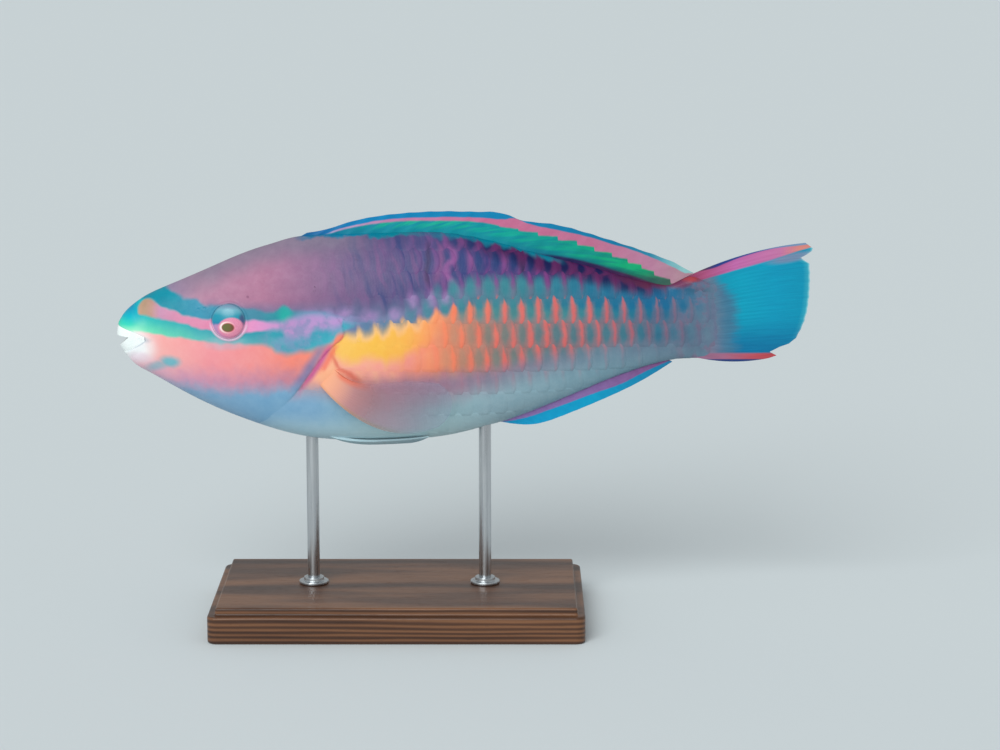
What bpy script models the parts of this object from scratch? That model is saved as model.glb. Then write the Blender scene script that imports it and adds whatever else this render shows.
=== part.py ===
"""A princess parrotfish, an adult male 280 mm long, as a life-size still model on a two-rod display stand.

Metres, +Z up. The head points towards -X, so the left flank faces -Y. The origin is the centre of the
stand's underside. The fish is measured as a shipwright measures a hull: "aft" is the distance behind the
tip of the snout, "out" the distance from the middle plane and "up" the height above the body's axis, all
in millimetres. side is -1 for the fish's left and +1 for its right.
"""

import math

import bmesh
import bpy
import numpy as np

MM = 0.001

# Driving dimensions, in millimetres
BODY_LENGTH = 243.7  # snout to the end of the tail stalk, under the tail fin's root
GAP = 0.3  # clearance between neighbouring solids
REACH = 60.0  # how far cutters reach to each side of the middle plane, and above and below the axis
OVERRUN = 10.0  # how far they reach past the ends of the body
STAND_LENGTH, STAND_WIDTH, STAND_HEIGHT = 150.0, 84.0, 14.0
STAND_EDGE = 1.8  # radius of the base's edges
ROD_RADIUS = 2.5
ROD_HOLE_DEPTH = 9.0  # into the base and into the belly
ROD_AFT = {"front": 78.0, "rear": 148.0}
COLLAR_RADIUS, COLLAR_HEIGHT = 6.0, 3.0
BELLY_CLEARANCE = 58.0  # from the base's top to the lowest point of the fish
LOWEST_UP = -47.0

AXIS_HEIGHT = STAND_HEIGHT + BELLY_CLEARANCE - LOWEST_UP
SNOUT_X = -sum(ROD_AFT.values()) / 2  # the stand's centre lies midway between the rods

# The body's lines: aft, height of the back, height of the belly, half width
BODY_LINES = (
    (0.0, -1.2, -1.2, 0.0),
    (1.0, 3.6, -5.8, 3.7),
    (3.2, 7.2, -8.9, 5.7),
    (6.9, 10.7, -13.3, 7.3),
    (12.9, 14.7, -17.0, 9.0),
    (23.0, 19.2, -22.8, 11.0),
    (39.0, 26.1, -31.1, 13.7),
    (54.2, 32.5, -37.3, 15.8),
    (75.5, 37.9, -43.6, 18.0),
    (93.6, 38.8, -45.2, 18.8),
    (113.8, 39.4, -45.0, 18.5),
    (134.0, 39.0, -43.0, 16.9),
    (154.1, 35.1, -37.5, 14.2),
    (174.3, 29.5, -29.8, 11.0),
    (194.5, 24.4, -21.1, 8.0),
    (222.7, 18.0, -12.3, 4.9),
    (243.7, 19.2, -11.9, 1.2),
)
WIDEST = 0.52  # where the section is widest, as a share of its depth from the belly
BACK_KEEL, BELLY_KEEL = 1.1, 0.92  # over 1 narrows the section towards its top or bottom, under 1 fills it
STATIONS, AROUND = 46, 28  # facets of the body
BALL_FACETS, ROD_FACETS = (20, 12), 24

# Parting lines
GILL_LINE = (  # up, aft: where the head ends and the trunk starts
    (-REACH, 42.0),
    (-38.0, 56.0),
    (-31.0, 64.5),
    (-22.0, 73.0),
    (-11.3, 80.7),
    (-4.0, 87.0),
    (1.4, 92.0),
    (8.0, 89.7),
    (20.0, 87.5),
    (REACH, 86.0),
)
GILL_STEPS = 25
STALK_AFT = 206.0
COVER_OUTLINE = ((72, 9), (86, 9), (95, 1), (87, -8), (80, -18), (67, -31), (56, -28), (57, -14), (63, -1))
COVER_INNER_OUT, COVER_OUTER_OUT = 9.0, 40.0  # from the middle plane to the cutter's two faces
COVER_INSET = 1.4 * GAP  # towards the middle of its outline, which keeps GAP all round the slanted cover

# The mouth: aft, up of the lip lines and of the cutting edges, which part in front of MOUTH_APEX
MOUTH_CORNER = (12.4, -2.2)
MOUTH_APEX = (5.4, -1.8)
UPPER_LIP = ((-6.0, 2.8), (0.9, 2.7), (6.9, 0.7))
LOWER_LIP = ((6.5, -6.9), (1.5, -9.0), (-6.0, -11.0))
UPPER_EDGE = ((0.5, -1.3), (-6.0, -0.8))
LOWER_EDGE = ((1.4, -5.7), (-6.0, -10.5))

EYE_AFT, EYE_UP, EYE_RADIUS, EYE_STANDS_OUT = 46.4, 6.0, 7.2, 2.8

# Fins: thickness at the root and at the margin, and how deep the root runs into the flesh
FIN_ROOT, FIN_MARGIN, FIN_SUNK = 2.0, 0.6, 2.5
DORSAL_BASE, DORSAL_RAKE = (67.0, 217.0), (10.0, 14.0)
DORSAL_MARGIN = (
    (77.0, 39.6),
    (86.0, 41.4),
    (98.0, 45.1),
    (120.0, 48.0),
    (145.0, 48.2),
    (172.0, 43.5),
    (200.0, 36.1),
    (217.0, 30.4),
    (225.0, 27.0),
    (231.0, 23.2),
)
ANAL_BASE, ANAL_RAKE = (149.5, 219.5), (9.0, 4.0)
ANAL_MARGIN = ((158.5, -38.3), (167.0, -38.7), (180.0, -34.9), (199.0, -26.8), (212, -20.2), (223.5, -12.9))
TAIL_ROOT = ((224.5, 17.0), (230.0, -10.3))  # top and bottom rays' roots, inside the stalk
TAIL_BOW = (3.4, -1.9)  # how far the top and bottom rays arch
TAIL_MARGIN = (  # share from the top ray to the bottom one, aft, up
    (0.0, 277.2, 35.5),
    (0.04, 280.0, 33.0),
    (0.085, 275.6, 29.9),
    (0.13, 277.2, 27.4),
    (0.3, 278.8, 20.0),
    (0.55, 277.6, 8.0),
    (0.7, 275.2, 0.4),
    (0.79, 271.8, -3.8),
    (0.86, 267.5, -5.9),
    (0.93, 261.6, -8.8),
    (0.97, 265.6, -10.0),
    (1.0, 264.6, -11.1),
)
PECTORAL_ROOT = ((82.3, -18.6), (87.4, -11.4))  # leading ray, innermost ray
PECTORAL_MARGIN = ((0.0, 127.2, -35.5), (0.25, 132.3, -32.5), (0.6, 135.3, -25.5), (1.0, 130.4, -17.2))
PECTORAL_BOW, PECTORAL_LEAN = (-8.0, -4.6), 3  # the innermost ray arches close to its root
PECTORAL_SUNK, PECTORAL_FLARE = 1.5, 7.5  # how deep the root lies, how far the tip stands off the flank
PELVIC_OUTER_RAY = ((85.0, 6.2), (125.5, 7.2))  # root and tip of each, as aft and out
PELVIC_INNER_RAY = ((88.0, 3.2), (118.0, 3.0))
PELVIC_SUNK, PELVIC_DROP = 1.6, 1.5
PELVIC_THICKNESS = 1.4

FINISHES = {  # colour, roughness, metallic
    "skin": ((0.50, 0.42, 0.52), 0.35, 0.0),
    "cheek": ((0.80, 0.42, 0.44), 0.35, 0.0),
    "fin_blue": ((0.02, 0.42, 0.62), 0.4, 0.0),
    "fin_pink": ((0.62, 0.26, 0.42), 0.4, 0.0),
    "fin_pale": ((0.62, 0.45, 0.48), 0.4, 0.0),
    "eye": ((0.75, 0.35, 0.42), 0.08, 0.0),
    "beak": ((0.88, 0.92, 0.90), 0.2, 0.0),
    "walnut": ((0.13, 0.07, 0.04), 0.45, 0.0),
    "steel": ((0.60, 0.61, 0.62), 0.3, 1.0),
}
SIDES = {"left": -1, "right": 1}


# Curves and the body's surface


def smooth_curve(points):
    """The natural cubic spline through (position, value) points, as a function of position."""
    x, y = np.array(points, float).T
    step = np.diff(x)
    bend = np.zeros(len(x))
    rows = np.diag(2 * (step[:-1] + step[1:])) + np.diag(step[1:-1], 1) + np.diag(step[1:-1], -1)
    bend[1:-1] = np.linalg.solve(rows, 6 * np.diff(np.diff(y) / step))

    def at(position):
        i = np.clip(np.searchsorted(x, position) - 1, 0, len(step) - 1)
        before, past, h = x[i + 1] - position, position - x[i], step[i]
        curved = (bend[i] * before**3 + bend[i + 1] * past**3) / (6 * h)
        return curved + (y[i] / h - bend[i] * h / 6) * before + (y[i + 1] / h - bend[i + 1] * h / 6) * past

    return at


def station_of(aft):
    """Stations crowd towards the snout, where the body's lines turn fastest."""
    return np.sqrt(np.clip(aft, 0, BODY_LENGTH) / BODY_LENGTH)


BACK, BELLY, HALF_WIDTH = (
    smooth_curve([(station_of(line[0]), line[column]) for line in BODY_LINES]) for column in (1, 2, 3)
)


def body_point(station, angle, grow=0.0):
    """(aft, out, up) on the skin; angle runs from the back, 0, down the right flank to the belly, pi."""
    back, belly = BACK(station) + grow, BELLY(station) - grow
    widest = belly + (back - belly) * WIDEST
    upper = math.cos(angle) > 0
    depth = back - widest if upper else widest - belly
    sine = math.sin(angle)
    keel = BACK_KEEL if upper else BELLY_KEEL
    out = math.copysign(abs(sine) ** keel, sine) * max(HALF_WIDTH(station) + grow, 0)
    aft = BODY_LENGTH * station**2 + grow * (2 * station - 1)
    return aft, out, widest + depth * math.cos(angle)


def flank_out(aft, up):
    """Half the body's width at this station and height."""
    station = station_of(aft)
    back, belly = BACK(station), BELLY(station)
    widest = belly + (back - belly) * WIDEST
    upper = up > widest
    share = (up - widest) / (back - widest if upper else widest - belly)
    return HALF_WIDTH(station) * max(1 - share**2, 0) ** ((BACK_KEEL if upper else BELLY_KEEL) / 2)


def underside_up(aft, out):
    """The height of the belly's surface this far from the middle plane."""
    station = station_of(aft)
    belly = BELLY(station)
    widest = belly + (BACK(station) - belly) * WIDEST
    sine = (abs(out) / HALF_WIDTH(station)) ** (1 / BELLY_KEEL)
    return widest - (widest - belly) * math.sqrt(1 - sine**2)


def place(aft, out, up):
    """A point of the fish in the model's frame, in metres."""
    return ((SNOUT_X + aft) * MM, out * MM, (AXIS_HEIGHT + up) * MM)


def between(first, last, share):
    return first + (last - first) * share


# Making and joining pieces


def clear_scene():
    for old in list(bpy.data.objects):
        bpy.data.objects.remove(old)
    for name in ("parrotfish", "cutters"):
        bpy.context.scene.collection.children.link(bpy.data.collections.new(name))


def finish_of(name):
    made = bpy.data.materials.get(name)
    if made is None:
        colour, roughness, metallic = FINISHES[name]
        made = bpy.data.materials.new(name)
        made.use_nodes = True
        made.diffuse_color = (*colour, 1)
        shader = made.node_tree.nodes["Principled BSDF"]
        shader.inputs["Base Color"].default_value = (*colour, 1)
        shader.inputs["Roughness"].default_value = roughness
        shader.inputs["Metallic"].default_value = metallic
    return made


def add_object(name, data, finish=None):
    """A piece of the model, or a cutter where it has no finish."""
    made = bpy.data.objects.new(name, data)
    if finish:
        made.data.materials.append(finish_of(finish))
        bpy.data.collections["parrotfish"].objects.link(made)
    else:
        made.hide_render = True
        made.display_type = "WIRE"
        bpy.data.collections["cutters"].objects.link(made)
    return made


def mesh_from(name, shape):
    mesh = bpy.data.meshes.new(name)
    shape.to_mesh(mesh)
    shape.free()
    return mesh


def boolean(piece, cutter, operation="DIFFERENCE"):
    cut = piece.modifiers.new(f"{operation.lower()}_{cutter.name}", "BOOLEAN")
    cut.operation = operation
    cut.object = cutter


def shade_smooth(mesh, angle=40):
    mesh.shade_smooth()
    mesh.set_sharp_from_angle(angle=math.radians(angle))


def body_mesh(name, grow=0.0):
    """The whole body: a sphere whose rings become the stations and whose poles close its two ends."""
    shape = bmesh.new()
    bmesh.ops.create_uvsphere(shape, u_segments=AROUND, v_segments=STATIONS, radius=1)
    for vertex in shape.verts:
        ring = math.acos(max(-1, min(1, vertex.co.z))) / math.pi * STATIONS
        if ring > STATIONS - 0.5:  # the stalk's end is flat, and its pole lies in the middle of it
            aft, _, top = body_point(1.0, 0, grow)
            vertex.co = place(aft, 0, (top + body_point(1.0, math.pi, grow)[2]) / 2)
            continue
        angle = math.atan2(vertex.co.y, vertex.co.x) if ring > 0.5 else 0
        vertex.co = place(*body_point(ring / (STATIONS - 1), angle, grow))
    bmesh.ops.recalc_face_normals(shape, faces=shape.faces)
    mesh = mesh_from(name, shape)
    shade_smooth(mesh)
    return mesh


def prism(name, outline, out_from=-REACH, out_to=REACH, smooth=False):
    """A cutter with this side outline of (aft, up) points, between two distances from the middle plane."""
    curve = bpy.data.curves.new(name, "CURVE")
    curve.dimensions = "2D"
    curve.fill_mode = "BOTH"
    curve.extrude = (out_to - out_from) / 2 * MM
    curve.resolution_u = 6
    spline = curve.splines.new("BEZIER" if smooth else "POLY")
    points = spline.bezier_points if smooth else spline.points
    points.add(len(outline) - 1)
    for point, (aft, up) in zip(points, outline, strict=True):
        x, _, z = place(aft, 0, up)
        point.co = (x, z, 0) if smooth else (x, z, 0, 1)
        if smooth:
            point.handle_left_type = point.handle_right_type = "AUTO"
    spline.use_cyclic_u = True
    flat = bpy.data.objects.new(name, curve)
    bpy.context.scene.collection.objects.link(flat)
    flat.rotation_euler.x = math.pi / 2
    flat.location.y = (out_from + out_to) / 2 * MM
    bpy.context.view_layer.update()
    mesh = bpy.data.meshes.new_from_object(flat.evaluated_get(bpy.context.evaluated_depsgraph_get()))
    mesh.transform(flat.matrix_world)
    bpy.data.objects.remove(flat)
    shape = bmesh.new()
    shape.from_mesh(mesh)
    bmesh.ops.remove_doubles(shape, verts=shape.verts, dist=GAP / 30 * MM)
    bmesh.ops.recalc_face_normals(shape, faces=shape.faces)
    bpy.data.meshes.remove(mesh)
    return add_object(name, mesh_from(name, shape))


def ball(name, centre, radius, finish=None):
    shape = bmesh.new()
    around, rings = BALL_FACETS
    bmesh.ops.create_uvsphere(shape, u_segments=around, v_segments=rings, radius=radius * MM)
    bmesh.ops.translate(shape, verts=shape.verts, vec=place(*centre))
    mesh = mesh_from(name, shape)
    shade_smooth(mesh)
    return add_object(name, mesh, finish)


def upright(name, aft, bottom, top, radius, finish=None):
    """A vertical cylinder on the middle plane, between two heights above the floor."""
    shape = bmesh.new()
    bmesh.ops.create_cone(
        shape,
        segments=ROD_FACETS,
        cap_ends=True,
        radius1=radius * MM,
        radius2=radius * MM,
        depth=(top - bottom) * MM,
    )
    bmesh.ops.translate(shape, verts=shape.verts, vec=((SNOUT_X + aft) * MM, 0, (bottom + top) / 2 * MM))
    mesh = mesh_from(name, shape)
    shade_smooth(mesh)
    return add_object(name, mesh, finish)


def fin(name, finish, rays, steps, at, body_clearance, root_thickness=FIN_ROOT):
    """A sheet of rays by steps, trimmed to the body. at(share of the rays, share from root to margin) gives
    its points."""
    shape = bmesh.new()
    bmesh.ops.create_grid(shape, x_segments=rays, y_segments=steps, size=0.5)
    reach = [vertex.co.y + 0.5 for vertex in shape.verts]
    for vertex in shape.verts:
        vertex.co = place(*at(vertex.co.x + 0.5, vertex.co.y + 0.5))
    bmesh.ops.recalc_face_normals(shape, faces=shape.faces)
    mesh = mesh_from(name, shape)
    shade_smooth(mesh)
    made = add_object(name, mesh, finish)
    thick = made.vertex_groups.new(name="thick")
    for index, share in enumerate(reach):
        thick.add([index], 1 - share, "REPLACE")
    wall = made.modifiers.new("thickness", "SOLIDIFY")
    wall.thickness = root_thickness * MM
    wall.offset = 0
    wall.vertex_group = thick.name
    wall.thickness_vertex_group = FIN_MARGIN / root_thickness
    boolean(made, body_clearance)
    return made


# The fish


def gill_boundary(shift):
    """The parting line between head and trunk as (aft, up) points, moved aft by shift."""
    line = smooth_curve(GILL_LINE)
    heights = np.linspace(-REACH, REACH, GILL_STEPS)
    return [(float(line(up)) + shift, float(up)) for up in heights]


def length_cutter(name, front, rear):
    """Keeps what lies between two parting lines, each a list of (aft, up) points from below upwards."""
    return prism(name, list(front) + list(reversed(rear)))


def straight_boundary(aft):
    return [(aft, -REACH), (aft, REACH)]


def make_flesh():
    half_gap = GAP / 2
    lengths = {
        "head": (straight_boundary(-OVERRUN), gill_boundary(-half_gap), "cheek"),
        "trunk": (gill_boundary(half_gap), straight_boundary(STALK_AFT - half_gap), "skin"),
        "tail_stalk": (
            straight_boundary(STALK_AFT + half_gap),
            straight_boundary(BODY_LENGTH + OVERRUN),
            "skin",
        ),
    }
    made = {}
    for name, (front, rear, finish) in lengths.items():
        made[name] = add_object(name, body_mesh(name), finish)
        boolean(made[name], length_cutter(f"{name}_length", front, rear), "INTERSECT")
    return made


def make_gill_covers(head):
    """Each cover is the outer part of the head's side within COVER_OUTLINE, and the head gives it room."""
    centre = np.mean(COVER_OUTLINE, axis=0)
    shrunk = []
    for point in COVER_OUTLINE:
        inwards = centre - point
        shrunk.append(tuple(point + inwards / np.linalg.norm(inwards) * COVER_INSET))
    head_length = bpy.data.objects["head_length"]
    for name, side in SIDES.items():
        near, far = sorted((side * COVER_INNER_OUT, side * COVER_OUTER_OUT))
        cover = add_object(f"gill_cover_{name}", body_mesh(f"gill_cover_{name}"), "cheek")
        boolean(cover, head_length, "INTERSECT")
        boolean(cover, prism(f"cover_{name}", shrunk, near, far, smooth=True), "INTERSECT")
        near, far = sorted((side * (COVER_INNER_OUT - GAP), side * COVER_OUTER_OUT))
        boolean(head, prism(f"cover_room_{name}", COVER_OUTLINE, near, far, smooth=True))


def make_mouth(head):
    """The two tooth plates fill the opening between the lips, apart from the gape in front of the apex."""
    corner_aft, corner_up = MOUTH_CORNER
    apex_aft, apex_up = MOUTH_APEX
    opening = (*UPPER_LIP, (corner_aft, corner_up + 1), (corner_aft, corner_up - 1), *LOWER_LIP)
    boolean(head, prism("mouth_opening", opening))
    lip_above = [(aft - GAP, up - GAP) for aft, up in UPPER_LIP]
    lip_below = [(aft - GAP, up + GAP) for aft, up in LOWER_LIP]
    upper = (
        *lip_above,
        (corner_aft - GAP, corner_up + 1 - GAP),
        (corner_aft - GAP, corner_up + GAP / 2),
        (apex_aft, apex_up + GAP / 2),
        *UPPER_EDGE,
    )
    lower = (
        *reversed(LOWER_EDGE),
        (apex_aft, apex_up - GAP / 2),
        (corner_aft - GAP, corner_up - GAP / 2),
        (corner_aft - GAP, corner_up - 1 + GAP),
        *lip_below,
    )
    for name, outline in (("beak_upper", upper), ("beak_lower", lower)):
        plate = add_object(name, body_mesh(name), "beak")
        boolean(plate, prism(f"{name}_outline", outline), "INTERSECT")


def make_eyes(head):
    out = flank_out(EYE_AFT, EYE_UP) + EYE_STANDS_OUT - EYE_RADIUS
    for name, side in SIDES.items():
        centre = (EYE_AFT, side * out, EYE_UP)
        ball(f"eye_{name}", centre, EYE_RADIUS, "eye")
        boolean(head, ball(f"socket_{name}", centre, EYE_RADIUS + GAP))


def median_fin(base, rake, margin, body_line, inwards):
    """Places a fin that stands on the back or hangs from the belly, its rays raked aft."""
    margin_line = smooth_curve(margin)

    def at(ray, reach):
        root_aft = between(*base, ray)
        tip_aft = root_aft + between(*rake, ray)
        root_up = float(body_line(station_of(root_aft))) + inwards * FIN_SUNK
        return (
            between(root_aft, tip_aft, reach),
            0.0,
            between(root_up, float(margin_line(tip_aft)), reach),
        )

    return at


def arch(reach, lean=1):
    """0 at both ends of a ray and 1 at its crown, which lies nearer the root the more it leans."""
    crown = 1 / (1 + lean)
    return reach * (1 - reach) ** lean / (crown * (1 - crown) ** lean)


def fan_point(root, margin, bow, ray, reach, lean=1):
    """(aft, up) on a fin whose rays spread from a short root to a margin; bow arches the outer two."""
    tip_aft, tip_up = margin(ray)
    root_aft, root_up = (between(root[0][axis], root[1][axis], ray) for axis in (0, 1))
    arched = between(bow[0] * arch(reach), bow[1] * arch(reach, lean), ray)
    return between(root_aft, tip_aft, reach), between(root_up, tip_up, reach) + arched


def margin_curve(table):
    aft_line = smooth_curve([(row[0], row[1]) for row in table])
    up_line = smooth_curve([(row[0], row[2]) for row in table])
    return lambda ray: (float(aft_line(ray)), float(up_line(ray)))


def make_median_fins(clearance):
    dorsal = median_fin(DORSAL_BASE, DORSAL_RAKE, DORSAL_MARGIN, BACK, -1)
    fin("dorsal_fin", "fin_pink", 26, 3, dorsal, clearance)
    anal = median_fin(ANAL_BASE, ANAL_RAKE, ANAL_MARGIN, BELLY, 1)
    fin("anal_fin", "fin_blue", 18, 3, anal, clearance)
    tail_margin = margin_curve(TAIL_MARGIN)

    def tail(ray, reach):
        aft, up = fan_point(TAIL_ROOT, tail_margin, TAIL_BOW, ray, reach)
        return aft, 0.0, up

    fin("tail_fin", "fin_blue", 34, 5, tail, clearance)


def make_paired_fins(clearance):
    pectoral_margin = margin_curve(PECTORAL_MARGIN)
    root_out = min(flank_out(*root) for root in PECTORAL_ROOT) - PECTORAL_SUNK
    for name, side in SIDES.items():

        def pectoral(ray, reach, side=side):
            aft, up = fan_point(PECTORAL_ROOT, pectoral_margin, PECTORAL_BOW, ray, reach, PECTORAL_LEAN)
            out = root_out + (PECTORAL_SUNK + PECTORAL_FLARE) * math.sin(math.sqrt(reach) * math.pi / 2)
            return aft, side * out, up

        def pelvic(ray, reach, side=side):
            outer = np.array(PELVIC_OUTER_RAY)
            (root_aft, root_out), (tip_aft, tip_out) = between(outer, np.array(PELVIC_INNER_RAY), ray)
            aft, out = between(root_aft, tip_aft, reach), between(root_out, tip_out, reach)
            emerged = math.sqrt(math.sin(min(reach * 2, 1) * math.pi / 2))
            return aft, side * out, underside_up(aft, out) + between(PELVIC_SUNK, -PELVIC_DROP, emerged)

        fin(f"pectoral_fin_{name}", "fin_pale", 12, 8, pectoral, clearance)
        fin(f"pelvic_fin_{name}", "fin_pale", 6, 10, pelvic, clearance, PELVIC_THICKNESS)


# The stand


def make_stand(trunk):
    shape = bmesh.new()
    bmesh.ops.create_cube(shape, size=MM)
    bmesh.ops.scale(shape, verts=shape.verts, vec=(STAND_LENGTH, STAND_WIDTH, STAND_HEIGHT))
    bmesh.ops.translate(shape, verts=shape.verts, vec=(0, 0, STAND_HEIGHT / 2 * MM))
    base = add_object("stand_base", mesh_from("stand_base", shape), "walnut")
    rounded = base.modifiers.new("edges", "BEVEL")
    rounded.width = STAND_EDGE * MM
    rounded.segments = 3
    for name, aft in ROD_AFT.items():
        bottom = STAND_HEIGHT - ROD_HOLE_DEPTH
        top = AXIS_HEIGHT + float(BELLY(station_of(aft))) + ROD_HOLE_DEPTH
        upright(f"stand_rod_{name}", aft, bottom + GAP, top - GAP, ROD_RADIUS, "steel")
        hole = upright(f"hole_{name}", aft, bottom, top, ROD_RADIUS + GAP)
        foot = STAND_HEIGHT + GAP
        collar = upright(f"stand_collar_{name}", aft, foot, foot + COLLAR_HEIGHT, COLLAR_RADIUS, "steel")
        for piece in (base, collar, trunk):
            boolean(piece, hole)


def main():
    clear_scene()
    flesh = make_flesh()
    make_gill_covers(flesh["head"])
    make_mouth(flesh["head"])
    make_eyes(flesh["head"])
    clearance = add_object("body_clearance", body_mesh("body_clearance", GAP))
    make_median_fins(clearance)
    make_paired_fins(clearance)
    make_stand(flesh["trunk"])


main()
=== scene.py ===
"""The finish of the parrotfish: painted skin, overlapping scales, rayed fins, eyes, beak and its stand.

The fish is measured in millimetres as its CAD is: "aft" behind the tip of the snout, "out" from the middle
plane and "up" above the body's axis. side is -1 for the fish's left flank and +1 for its right.
"""

import math

import bpy
import numpy as np
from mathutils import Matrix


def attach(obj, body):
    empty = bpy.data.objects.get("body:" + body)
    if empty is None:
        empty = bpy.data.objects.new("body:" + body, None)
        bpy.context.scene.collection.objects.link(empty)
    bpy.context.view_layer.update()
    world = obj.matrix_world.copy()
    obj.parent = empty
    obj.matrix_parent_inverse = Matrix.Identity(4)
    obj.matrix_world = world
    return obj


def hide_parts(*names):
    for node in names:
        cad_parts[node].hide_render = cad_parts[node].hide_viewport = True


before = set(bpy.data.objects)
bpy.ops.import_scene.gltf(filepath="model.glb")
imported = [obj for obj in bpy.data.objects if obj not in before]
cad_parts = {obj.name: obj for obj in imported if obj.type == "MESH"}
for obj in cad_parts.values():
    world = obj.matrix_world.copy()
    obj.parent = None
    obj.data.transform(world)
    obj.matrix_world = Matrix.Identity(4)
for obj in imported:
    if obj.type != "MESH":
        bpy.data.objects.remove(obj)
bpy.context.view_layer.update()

MM = 0.001
SIDES = {"left": -1, "right": 1}

# The body's measures, as in the CAD
BODY_LENGTH = 243.7
SNOUT_X, AXIS_HEIGHT = -113, 119
BODY_LINES = (  # aft, height of the back, height of the belly, half width
    (0, -1.2, -1.2, 0), (1, 3.6, -5.8, 3.7), (3.2, 7.2, -8.9, 5.7), (6.9, 10.7, -13.3, 7.3),
    (12.9, 14.7, -17, 9), (23, 19.2, -22.8, 11), (39, 26.1, -31.1, 13.7), (54.2, 32.5, -37.3, 15.8),
    (75.5, 37.9, -43.6, 18), (93.6, 38.8, -45.2, 18.8), (113.8, 39.4, -45, 18.5), (134, 39, -43, 16.9),
    (154.1, 35.1, -37.5, 14.2), (174.3, 29.5, -29.8, 11), (194.5, 24.4, -21.1, 8), (222.7, 18, -12.3, 4.9),
    (243.7, 19.2, -11.9, 1.2)
)
WIDEST, BACK_KEEL, BELLY_KEEL = 0.52, 1.1, 0.92
GILL_LINE = (  # up, aft
    (-60, 42), (-38, 56), (-31, 64.5), (-22, 73), (-11.3, 80.7), (-4, 87), (1.4, 92), (8, 89.7), (20, 87.5),
    (60, 86)
)
GILL_TOP, GILL_BOTTOM = 10, -27  # between which the gill cover's edge stands free
FLAP_LIFT, FLAP_FADE, FLAP_UNDERCUT, UNDERCUT_FADE = 0.42, 6, 0.2, 1.6
CHEEK_FOLD = ((-30, 50), (-17.5, 62), (-9.2, 61.5), (2.9, 59.5), (12, 58))  # up, aft
FOLD_DEPTH, FOLD_WIDTH = 0.1, 1.4

# The skin's mesh: how far apart its rings lie, and its points round each ring in degrees from the back
NOSE_RINGS = 8
RING_STEPS = (
    (1, 0.3), (14, 0.34), (17, 0.6), (35, 0.6), (38, 0.36), (56, 0.36), (59, 0.6), (97, 0.6), (104, 2),
    (243.7, 2.2)
)
TURN_STEPS = (
    (0, 1.6), (8, 2), (50, 1.6), (62, 0.62), (96, 0.62), (104, 1), (125, 1.2), (172, 2.2), (180, 1.6)
)
COAT_DEPTH, COAT_FROM, COAT_FULL = 0.3, 45, 75
MAP_CROWDING = 0.8  # under 1 gives the head more than its share of the unwrap
MAP_LENGTH = BODY_LENGTH + 8  # it runs on under the tail fin's scales

# The mouth: aft, up of the lips and of the cutting edges
MOUTH_CORNER, MOUTH_APEX = (12.4, -2.2), (5.4, -1.8)
UPPER_LIP = ((-6, 2.8), (0.9, 2.7), (6.9, 0.7), (12.4, -1.4))
LOWER_LIP = ((-6, -11), (1.5, -9), (6.5, -6.9), (12.4, -3))
UPPER_EDGE = ((-6, -0.8), (0.5, -1.3), (5.4, -1.8), (12.4, -2.1))
LOWER_EDGE = ((-6, -10.5), (1.4, -5.7), (5.4, -1.8), (12.4, -2.3))
MOUTH_MIDDLE = (16, 0, -3)
MOUTH_RECESS, GAPE_RECESS = 2.3, 3
TOOTH_THICKNESS, TOOTH_ROUNDING = 1.1, 0.18
RECESS_WALL, GAPE_WALL = (0, 0.9), (0.3, 1.6)  # how far inside their lines they start and reach full depth
LIP_SWELL, LIP_WIDTH, LIP_CREASE, CREASE_WIDTH = 0.08, 0.9, 0.05, 0.8
LIP_AHEAD, CREASE_AHEAD, LIP_FADE = 0.75, 3, (16, 12)
MOUTH_REACH = 6  # how far behind its corner the skin is shaped for it
TEETH = 24  # along one plate

# The eye: a dome in a ring of skin
EYE_AFT, EYE_UP = 46.4, 6
EYE_RADIUS, EYE_DOME, EYE_DEPTH, EYE_SEAT = 6.95, 2.9, 5, -0.25
SOCKET_RADIUS, RIM_RADIUS, RIM_WIDTH, RIM_LIFT = 6.85, 7.35, 0.65, 0.5
EYE_REACH = 11  # how far from its middle the skin is shaped for it
EYE_ROOM = 0.3  # between the eyeball and the socket behind it
NOSTRILS = ((36.8, 10.9, 0.5), (34.2, 10.5, 0.4))  # aft, up, radius
NOSTRIL_RIM, NOSTRIL_DEPTH = 0.1, 0.35

# Scales
SCALE_PITCH, ROW_PITCH = 6.8, 9.9
SCALE_LENGTH, SCALE_HEIGHT = 10.4, 11.6
SCALE_BOW, BACK_BOW = 0.5, 1.6  # how far a free edge's middle lies behind its ends, on the flank and back
SCALE_ROUND = 1.2  # and how far it lies behind its corners beyond that
SCALE_SLANT = 0.45  # how far its top lies ahead of its middle
BAR_AT = 1.3  # how far ahead of the free edge the middle of its coloured bar lies
FIRST_EDGE = 147.3  # aft of one free edge on the middle row
MIDDLE_ROW = (0.9, -0.0225, 149)  # its height, its slope and where that height holds
COLUMNS, ROWS = range(-14, 16), range(-6, 7)
TAIL_EDGE = 243.5  # the last scales' free edges
GILL_CLEAR, BLOTCH_CLEAR, NAPE_CLEAR, NAPE_FROM = 2, 4, 4.5, 80  # the bare skin round the first ones
SCALE_SUNK, SCALE_RISE, SCALE_CROWN, SCALE_WALL = -0.06, 0.26, 0.09, 0.12
HEAD_RELIEF, HEAD_WALL, BELLY_RELIEF, TAIL_FLATTER = 0.06, 0.15, 0.3, 0.75  # shares of those there
LENGTH_CHANCE, PLACE_CHANCE, HEIGHT_CHANCE = 0.05, 0.5, 0.02  # how much one scale differs from the next
SMALLEST_SCALE, SLIT = 3, 0.05  # the least height of one, and the slit along the back and the belly

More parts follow.
